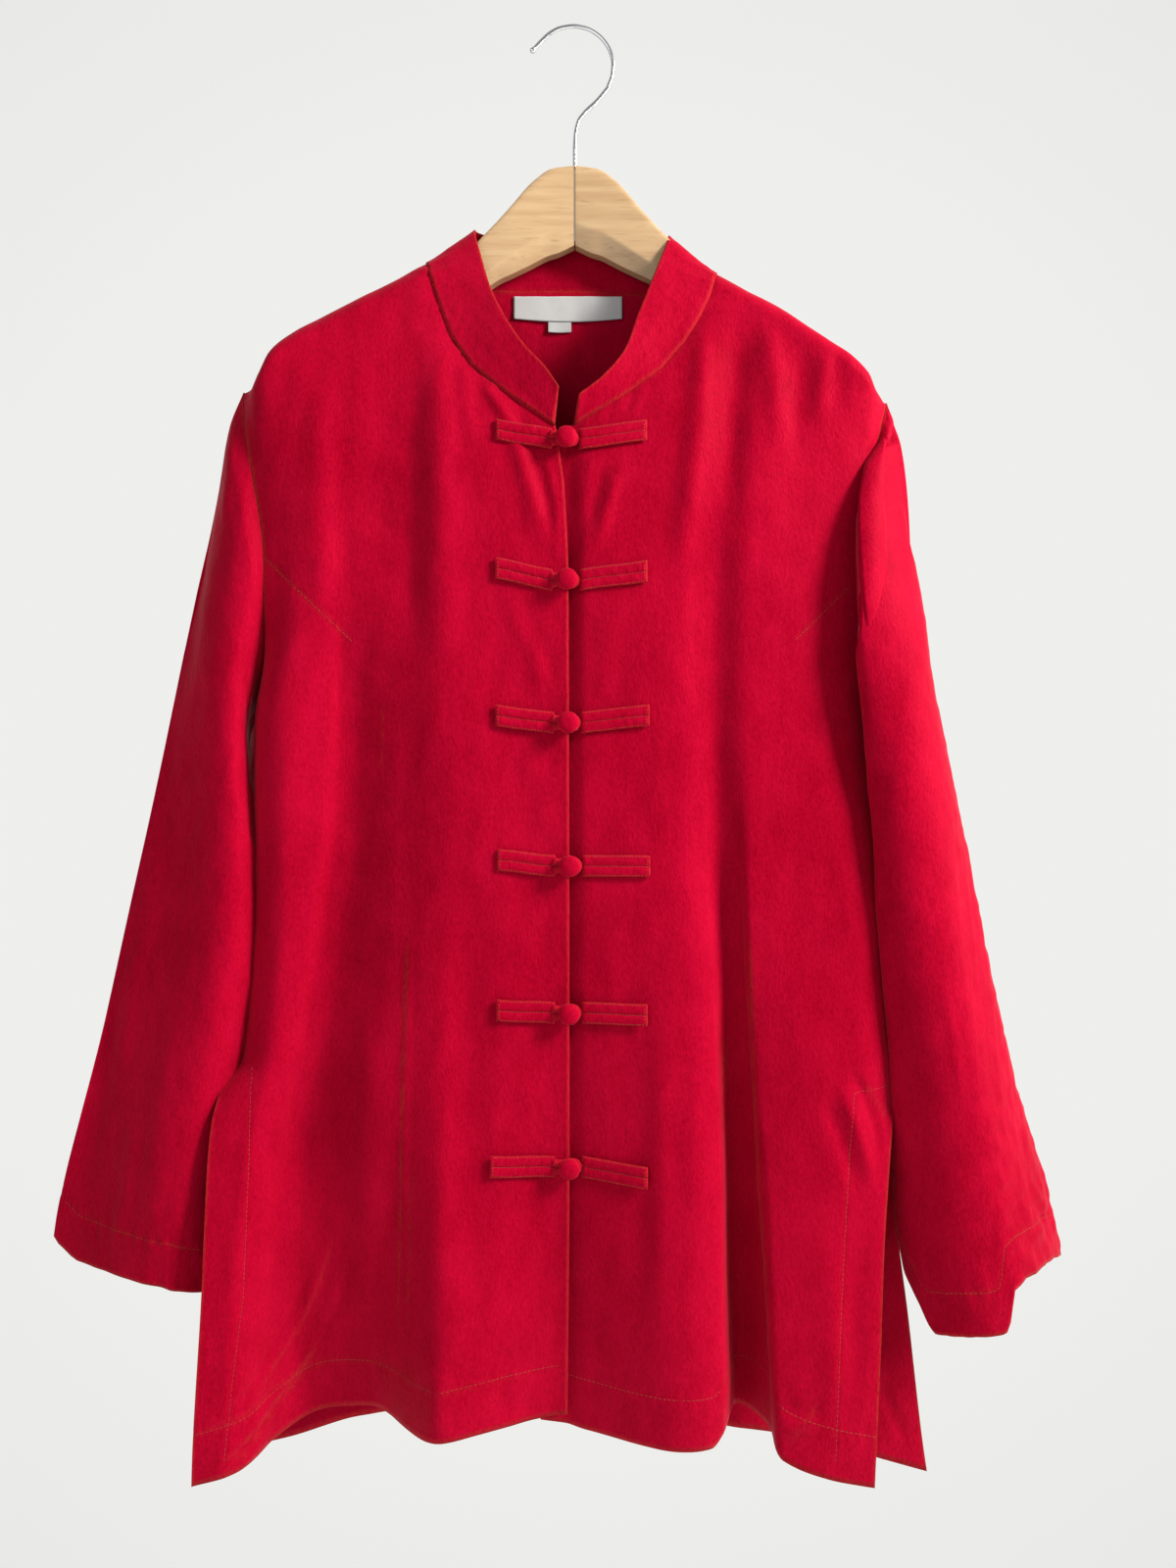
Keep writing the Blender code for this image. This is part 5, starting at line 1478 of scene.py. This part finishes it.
def stretched(tree, scale=(1.0, 1.0, 1.0), rotation=(0.0, 0.0, 0.0)):
    coordinates = tree.nodes.new("ShaderNodeTexCoord")
    links = {"Vector": coordinates.outputs["Object"]}
    values = {"Scale": scale, "Rotation": rotation}
    return add(tree, "ShaderNodeMapping", links, values).outputs["Vector"]


def bump(tree, height, distance, strength, below=None):
    links = {"Height": height}
    if below is not None:
        links["Normal"] = below
    values = {"Distance": distance, "Strength": strength}
    return add(tree, "ShaderNodeBump", links, values).outputs["Normal"]


def wave(tree, vector, direction, values):
    node = add(tree, "ShaderNodeTexWave", {"Vector": vector}, values, bands_direction=direction)
    return node.outputs["Fac"]


def silk(name, lighter=0.0):
    """Sand-washed silk: mottled nap, a fine weave, worn paler edges, paler crease lines that are partly
    painted highlight, and a soft sheen.
    """
    made, tree, shader = new_material(name)
    upright = stretched(tree, (1.0, 1.0, 0.5))
    plain = stretched(tree)
    nap = noise(tree, upright, 620, 4, 0.65)
    fuzz = noise(tree, plain, 2300, 2, 0.6)
    wash = noise(tree, plain, 7, 4, 0.6)
    patch = noise(tree, upright, 60, 3, 0.6)
    tone = math_node(tree, "MULTIPLY", nap, 0.5)
    for part, weight in ((fuzz, 0.3), (wash, 0.35), (patch, 0.25)):
        tone = math_node(tree, "ADD", tone, math_node(tree, "MULTIPLY", part, weight))
    factor = spread(tree, tone, 0.54 - lighter, 0.86 - lighter)
    colour = mix_colour(tree, factor, SILK_DEEP, SILK_LIGHT)
    # The wear attribute: worn edges and seams, and crease lines that are partly painted highlight.
    wear = add(tree, "ShaderNodeAttribute", attribute_name="wear").outputs["Fac"]
    worn_and_highlit_share = math_node(tree, "MULTIPLY", wear, spread(tree, nap, 0.3, 0.7))
    feed(tree, shader.inputs["Base Color"], mix_colour(tree, worn_and_highlit_share, colour, SILK_WORN_AND_HIGHLIT))
    feed(tree, shader.inputs["Roughness"], spread(tree, nap, -0.5, 1.9))
    set_values(shader, SILK_SHEEN)
    threads = [wave(tree, plain, way, {"Scale": 520, "Distortion": 1.2}) for way in ("X", "Z")]
    normal = bump(tree, math_node(tree, "MULTIPLY", *threads), 0.00012, 0.25)
    normal = bump(tree, nap, 0.0010, 0.45, normal)
    normal = bump(tree, noise(tree, upright, 150, 5, 0.6), 0.0016, 0.30, normal)
    feed(tree, shader.inputs["Normal"], normal)
    return made


def mottled_material(name, scale, pale, dark, values):
    """A plain surface between two close colours."""
    made, tree, shader = new_material(name)
    vector = stretched(tree)
    feed(tree, shader.inputs["Base Color"], mix_colour(tree, noise(tree, vector, scale), pale, dark))
    set_values(shader, values)
    return made, tree, shader, vector


def satin_material():
    values = {"Roughness": 0.42, "Sheen Weight": 0.2}
    made, tree, shader, vector = mottled_material("ivory_satin_weave", 120, IVORY_DEEP, IVORY, values)
    rib = wave(tree, vector, "Z", {"Scale": 420})
    feed(tree, shader.inputs["Normal"], bump(tree, rib, 0.0002, 0.4))
    return made


def chrome_material():
    made, tree, shader, vector = mottled_material("chrome_plate", 60, CHROME_DEEP, CHROME, {"Metallic": 1.0})
    feed(tree, shader.inputs["Roughness"], spread(tree, noise(tree, vector, 300), -0.6, 4.4))
    return made


def wood_material(name, tilt, tone):
    """Pale lacquered beech with its grain along the arm, short darker flecks and a dark joint. tone scales
    all its colours, and a tone below 1 paints shade over the whole piece.
    """
    made, tree, shader = new_material(name)
    grain = noise(tree, stretched(tree, (0.9, 12.0, 14.0), (0.0, tilt, 0.0)), 12, 5, 0.6)
    fleck = noise(tree, stretched(tree, (5.0, 60.0, 60.0), (0.0, tilt, 0.0)), 10, 2, 0.5)
    # A tone below 1 is painted shade: the whole wood is darker.
    pale, dark, spot = (tuple(c * tone for c in colour) + (1.0,) for colour in BEECH)
    colour = mix_colour(tree, spread(tree, grain, 0.35, 0.7), pale, dark)
    flecked = math_node(tree, "MULTIPLY", spread(tree, fleck, 0.58, 0.72), 0.45)
    colour = mix_colour(tree, flecked, colour, spot)
    place = tree.nodes.new("ShaderNodeTexCoord").outputs["Object"]
    across = add(tree, "ShaderNodeSeparateXYZ", {"Vector": place}).outputs["X"]
    from_joint = math_node(tree, "ABSOLUTE", across, 0.0)
    joint = spread(tree, from_joint, JOINT_LINE * MM, 0.3 * JOINT_LINE * MM)
    feed(tree, shader.inputs["Base Color"], mix_colour(tree, joint, colour, JOINT_DARK))
    set_values(shader, {"Roughness": 0.42, "Coat Weight": 0.15, "Coat Roughness": 0.3})
    feed(tree, shader.inputs["Normal"], bump(tree, grain, 0.0004, 0.25))
    return made


def tube(name, path, radii, sides, flat=1.0):
    """A tube along points in millimetres: flat is its thickness in depth over its width."""
    depth = np.array([0.0, 1.0, 0.0])
    side = unit(np.cross(unit(np.gradient(path, axis=0)), depth))
    angle = (2 * math.pi * np.arange(sides) / sides)[:, None]
    rings = side[:, None] * np.cos(angle) + flat * depth * np.sin(angle)
    rings = path[:, None] + radii[:, None, None] * rings
    last = (len(path) - 1) * sides
    faces = []
    for ring in range(0, last, sides):
        for k in range(sides):
            a = ring + k
            b = ring + (k + 1) % sides
            faces.append((a, b, b + sides, a + sides))
    faces.append(tuple(range(sides))[::-1])
    faces.append(tuple(range(last, last + sides)))
    obj = mesh_object(name, rings.reshape(-1, 3), faces)
    close_up(obj.data)
    return obj


def resample(points, count):
    place = length_along(points)
    at = np.linspace(0, place[-1], count)
    return np.stack([curve_through(place, points[:, k])(at) for k in range(points.shape[1])], axis=1)


def frog_strip(number, side, end, near, finish, lines):
    """Two flat cords side by side, sewn down along their edges and between them."""
    across, up = STRIP_FINE
    lift = CLOTH_WALL / 2 + SEAM_GAP + ROOM + STRIP_WALL / 2
    random = np.random.default_rng(700 + number * 2 + (side == "left"))
    skew = random.uniform(-0.35, 0.35, 3)
    u, v = np.meshgrid(np.linspace(0, 1, across + 1), np.linspace(0, 1, up + 1))
    from_side = np.minimum(v, 1 - v)
    x = blend(end[0], near[0], u)
    bow = skew[0] * np.sin(math.pi * u) + skew[1] * np.sin(2 * math.pi * u)
    z = blend(end[1], near[1], u) + bow + (STRIP_WIDTH + 0.5 * skew[2]) * (v - 0.5)
    edge = np.minimum(u, 1 - u) * abs(near[0] - end[0])
    rise = 1.05 * np.abs(np.sin(2 * math.pi * v)) ** 0.62 * smooth((edge + 1.2) / 2.6)
    ripple = 0.12 * wobble(x, z, 800 + number, 5.5)
    ripple += 0.10 * np.sin(2 * math.pi * x / 3.3 + 3 * skew[0]) * groove(from_side, 0.13)
    points = np.stack([x, panel_at(side, x, z) - lift - rise - ripple, z], axis=-1)
    wear = worn((0.9, from_side * STRIP_WIDTH, 0.5), (0.9, edge, 0.6), (0.35, (v - 0.5) * STRIP_WIDTH, 0.5))
    name = f"frog_strip_{side}_{number}"
    panel = Panel(name + "_cloth", points, facing(points, TO_FRONT), wear, STRIP_SHELL)
    dress(panel.object, finish, "red_silk_trim", name)
    paths = [[(row, c) for c in np.linspace(1.5, across - 1.5, 40)] for row in (1.6, 12.1, up - 1.6)]
    paths.append([(r, 1.8) for r in np.linspace(1.6, up - 1.6, 20)])
    for places in paths:
        lines.append(stitch_line(*panel.line(places, -0.05), length=1.5, gap=0.8))
    return panel.object


def frog_loop(number, near, button, loop_y, finish):
    """The strip's two cords run on side by side and turn round the button's stem."""
    start = [(near[0] - 1.2, loop_y - 0.2, 3.4), (near[0] + 1.8, loop_y - 0.1, 2.4)]
    points = list(start)
    for step in range(13):
        angle = math.pi * (step / 12 - 0.5)
        x = button[0] + (LOOP_REACH - LOOP_HALF_WIDTH) + LOOP_HALF_WIDTH * math.cos(angle)
        points.append((x, loop_y, -LOOP_HALF_WIDTH * math.sin(angle)))
    points += [(x, y, -z) for x, y, z in reversed(start)]
    path = resample(np.array(points), LOOP_RINGS)
    path[:, 2] += button[1]
    share = np.linspace(0, 1, LOOP_RINGS)
    radii = 1.75 + 1.15 * (1 - smooth(np.minimum(share, 1 - share) / 0.3))
    obj = tube(f"frog_loop_{number}_cord", path, radii, 12, flat=0.62)
    set_wear(obj.data, np.full(len(obj.data.vertices), 0.25))
    return dress(obj, finish, "red_silk_trim", f"frog_loop_{number}")


def button(number, centre, y, finish):
    """Domed button with its cloth drawn over it: a soft rim and faint folds towards the back."""
    steps, sides = BUTTON_FINE
    random = np.random.default_rng(900 + number)
    tilt = random.uniform(-0.25, 0.25, 2)
    down = np.linspace(0, 1, steps)[:, None]
    angle = math.pi * (0.5 - 0.72 * down)
    radius = BUTTON_RADIUS * 0.955 * np.abs(np.cos(angle)) ** 0.82
    height = BUTTON_HALF_DEPTH * 0.97 * np.sign(np.sin(angle)) * np.abs(np.sin(angle)) ** 0.9
    around = 2 * math.pi * np.arange(sides) / sides
    folds = 0.16 * np.sin(around * 11 + random.uniform(0, 6)) * smooth((down - 0.45) / 0.4)
    soft = 0.05 * np.sin(3 * around + random.uniform(0, 6)) * np.sin(math.pi * down)
    r = radius + (folds + soft) * (down > 0)
    r[0, :] = 0.02
    lean = (tilt[0] * np.cos(around) + tilt[1] * np.sin(around)) * r / BUTTON_RADIUS
    x = centre[0] + r * np.cos(around)
    z = centre[1] + r * np.sin(around)
    points = np.stack([x, y - height + lean, z], axis=-1)
    points = np.concatenate([points, points[:, :1]], axis=1)
    wear = np.repeat(0.35 * groove(down - 0.62, 0.10), sides + 1, axis=1)
    obj = grid_object(f"button_{number}_cover", points, True, wear)
    close_up(obj.data)
    return dress(obj, finish, "red_silk_trim", f"button_{number}")


def frogs(finish, thread):
    pieces = {side: [] for side in WAY_OUT}
    lines = {side: [] for side in WAY_OUT}
    for number, row in enumerate(FROGS, start=1):
        place = dict(zip(FROG_COLUMNS, row))
        x, z = place["button"]
        near = {side: (x + way * STRIP_TO_BUTTON[side], z) for side, way in WAY_OUT.items()}
        for side in near:
            strip = frog_strip(number, side, place[side + "_end"], near[side], finish, lines[side])
            pieces[side].append(strip)
        skin = float(panel_at("right", x, z)[0]) - CLOTH_WALL / 2
        loop_y = skin - SEAM_GAP - ROOM - LOOP_RADIUS
        pieces["right"].append(frog_loop(number, near["right"], (x, z), loop_y, finish))
        button_y = loop_y - LOOP_RADIUS - SEAM_GAP - BUTTON_HALF_DEPTH + BUTTON_SINK
        pieces["left"].append(button(number, (x, z), button_y, finish))
    for side in WAY_OUT:
        made = stitches_object(f"frog_stitches_{side}", lines[side])
        pieces[side].append(dress(made, thread, "red_silk_trim"))
    return pieces


def label(name, box, finish, sag):
    u, v = np.meshgrid(*(np.linspace(0, 1, faces + 1) for faces in LABEL_FINE))
    x = blend(box["left"], box["right"], u)
    z = blend(box["bottom"], box["top"], v) - sag * np.sin(math.pi * u) * (1 - v)
    y = panel_at("back", x, z) - (CLOTH_WALL / 2 + SEAM_GAP + LABEL_WALL / 2)
    y = y - 0.5 * (1 - v) ** 2 - 0.25 * wobble(x, z, 61, 30)
    points = np.stack([x, y, z], axis=-1)
    panel = Panel(name + "_ribbon", points, facing(points, TO_FRONT), wall=LABEL_SHELL)
    return dress(panel.object, finish, "ivory_satin", name)


def arm(side, finish):
    """One half of the hanger, more finely sectioned than its solid."""
    end = ARM_END[side]
    curves = curves_of(ARM_COLUMNS, ARM)

    def point(u, v):
        distance = blend(SEAM_GAP / 2, end, 1 - (1 - v) ** 1.4)
        x = WAY_OUT[side] * distance
        under_seam = SEAM_OVER_WOOD["z"](x) - ARM_UNDER_SEAM
        follow = smooth((distance - ARM_MEETS_SEAM[0]) / (ARM_MEETS_SEAM[1] - ARM_MEETS_SEAM[0]))
        top = blend(curves["top"](distance), under_seam, follow)
        shrink = turn((end - distance) / ARM_END_ROUND + 0.02)
        half_height = curves["height"](distance) / 2
        half_thick = curves["thickness"](distance) / 2 * shrink
        place = WOOD_SECTION["place"]
        across, along = (np.interp(u, place, WOOD_SECTION[name]) for name in ("across", "along"))
        y = SEAM_OVER_WOOD["y"](x) + half_thick * across
        z = top - half_height + half_height * shrink * along
        return np.stack([x, y, z], axis=1)

    obj = grid_object(f"hanger_arm_{side}_wood", grid_of(point, *ARM_FINE)[2], closed=True)
    close_up(obj.data)
    obj.data.set_sharp_from_angle(angle=math.radians(24))
    return dress(obj, finish, "beech", f"hanger_arm_{side}")


def hook(finish):
    centre_z = HOOK_WIRE / 2 - HOOK_RADIUS
    points = [HOOK_TIP]
    for degrees in range(140, -31, -17):
        angle = math.radians(degrees)
        x = HOOK_CENTRE_X + HOOK_RADIUS * math.cos(angle)
        points.append((x, centre_z + HOOK_RADIUS * math.sin(angle)))
    points += HOOK_SHANK
    points.append((0.0, WOOD_TOP_Z + 2 * SEAM_GAP))
    path = resample(np.array(points), 150)
    path = np.stack([path[:, 0], np.zeros(len(path)), path[:, 1]], axis=1)
    length = length_along(path)
    ball = np.sqrt(np.maximum(1 - ((length - HOOK_BALL) / HOOK_BALL) ** 2, 0.02)) * HOOK_BALL
    radii = np.where(length < HOOK_BALL, ball, np.maximum(ball, HOOK_WIRE / 2 * 0.98))
    obj = tube("hanger_hook_wire", path, radii, 24)
    return dress(obj, finish, "chromed_steel", "hanger_hook")


def band_places(distance, band, columns):
    """The grid places where the distance from an edge is that of the band, one in each column."""
    rows = np.arange(len(distance))
    return [(np.interp(band, distance[:, c], rows), c) for c in columns]


def sewn(panel, name, paths, thread):
    lines = [stitch_line(*panel.line(places)) for places in paths]
    return dress(stitches_object(name, lines), thread, "red_silk")


def seam_stitches(panels, thread):
    """Hems, facings, cuffs and darts sewn with small stitches."""
    made = {}
    for key in ("right", "left", "back"):
        panel = panels[key]
        first, last, low, _ = edge_distance(panel.points)
        columns = low.shape[1]
        paths = [band_places(low, HEM_BAND, range(2, columns - 2, 2))]
        if key != "back":
            paths += [panel.path(FACINGS[key]), panel.path(DARTS[key])]
            made[key] = sewn(panel, f"front_{key}_stitches", paths, thread)
            continue
        for side, away, edge, way in (("right", first, 0, 1), ("left", last, -1, -1)):
            slit_row = panel.nearest(panel.points[0, edge, 0], SLIT_TOP_Z[side] - STITCH_BELOW_SLIT)[0]
            place = np.arange(columns)[::way]
            paths.append([(r, np.interp(FACING_BAND, away[r, ::way], place)) for r in range(2, slit_row, 2)])
        made[key] = sewn(panel, "back_stitches", paths, thread)
    for side in WAY_OUT:
        panel = panels["sleeve_" + side]
        to_cuff = edge_distance(panel.points)[3]
        columns = to_cuff.shape[1]
        cuff = band_places(-to_cuff, -CUFF_BAND, range(columns))
        cuff[-1] = (cuff[-1][0], columns - 1.001)
        made["sleeve_" + side] = sewn(panel, f"sleeve_{side}_stitches", [cuff], thread)
    return made


def make_camera():
    data = bpy.data.cameras.new("camera")
    data.sensor_width = SENSOR
    data.lens = SENSOR * FOCAL_PIXELS / PHOTO_HEIGHT
    data.clip_start = 0.01
    obj = placed("camera", data)
    obj.location = [c * MM for c in CAMERA_PLACE]
    obj.rotation_euler = (math.pi / 2, 0, 0)
    bpy.context.scene.camera = obj


def area_light(name, place, aim, size, power, colour):
    data = bpy.data.lights.new(name, "AREA")
    data.shape = "RECTANGLE"
    data.size, data.size_y = size
    data.energy = power
    data.color = colour
    obj = placed(name, data)
    obj.location = place
    way = Vector(np.array(aim) - np.array(place))
    obj.rotation_euler = way.to_track_quat("-Z", "Y").to_euler()


def make_studio():
    world = bpy.data.worlds.new("studio")
    world.use_nodes = True
    tree = world.node_tree
    direction = tree.nodes.new("ShaderNodeTexCoord").outputs["Generated"]
    apart = add(tree, "ShaderNodeSeparateXYZ", {"Vector": direction})
    behind = spread(tree, apart.outputs["Y"], -0.6, 0.9)
    background = tree.nodes["Background"].inputs
    feed(tree, background["Color"], mix_colour(tree, behind, WORLD_FRONT, WORLD_BACK))
    background["Strength"].default_value = 1.0
    bpy.context.scene.world = world
    bpy.context.scene.view_settings.view_transform = "Standard"
    for row in LIGHTS:
        area_light(*row)
    floor = mesh_object("floor", FLOOR, [(0, 1, 2, 3)])
    made, _, shader = new_material("pale_floor")
    set_values(shader, {"Base Color": PALE, "Roughness": 0.8})
    floor.data.materials.append(made)


def main():
    make_camera()
    make_studio()
    red = silk("washed_silk")
    trim = silk("washed_silk_trim", 0.03)
    thread = mottled_material("brown_red_thread", 400, THREAD, THREAD_WORN, {"Roughness": 0.6})[0]
    ivory = satin_material()
    panels = {"right": front_panel("right"), "left": front_panel("left"), "back": back_panel()}
    for side in WAY_OUT:
        panels["sleeve_" + side] = sleeve_panel(side)
    panels["collar"] = collar_panel()
    for key, panel in panels.items():
        dress(panel.object, red, "red_silk", "front_" + key if key in WAY_OUT else key)
    fastenings = frogs(trim, thread)
    stitches = seam_stitches(panels, thread)
    neck = label("neck_label", LABEL, ivory, 2.2)
    tab = label("size_tab", SIZE_TAB, ivory, 0.4)
    arm("right", wood_material("beech_right", 0.55, 1.0))
    # The left arm's wood is 8% darker: painted shade on that arm.
    arm("left", wood_material("beech_left_painted_shade", -0.55, 0.92))
    hook(chrome_material())


main()
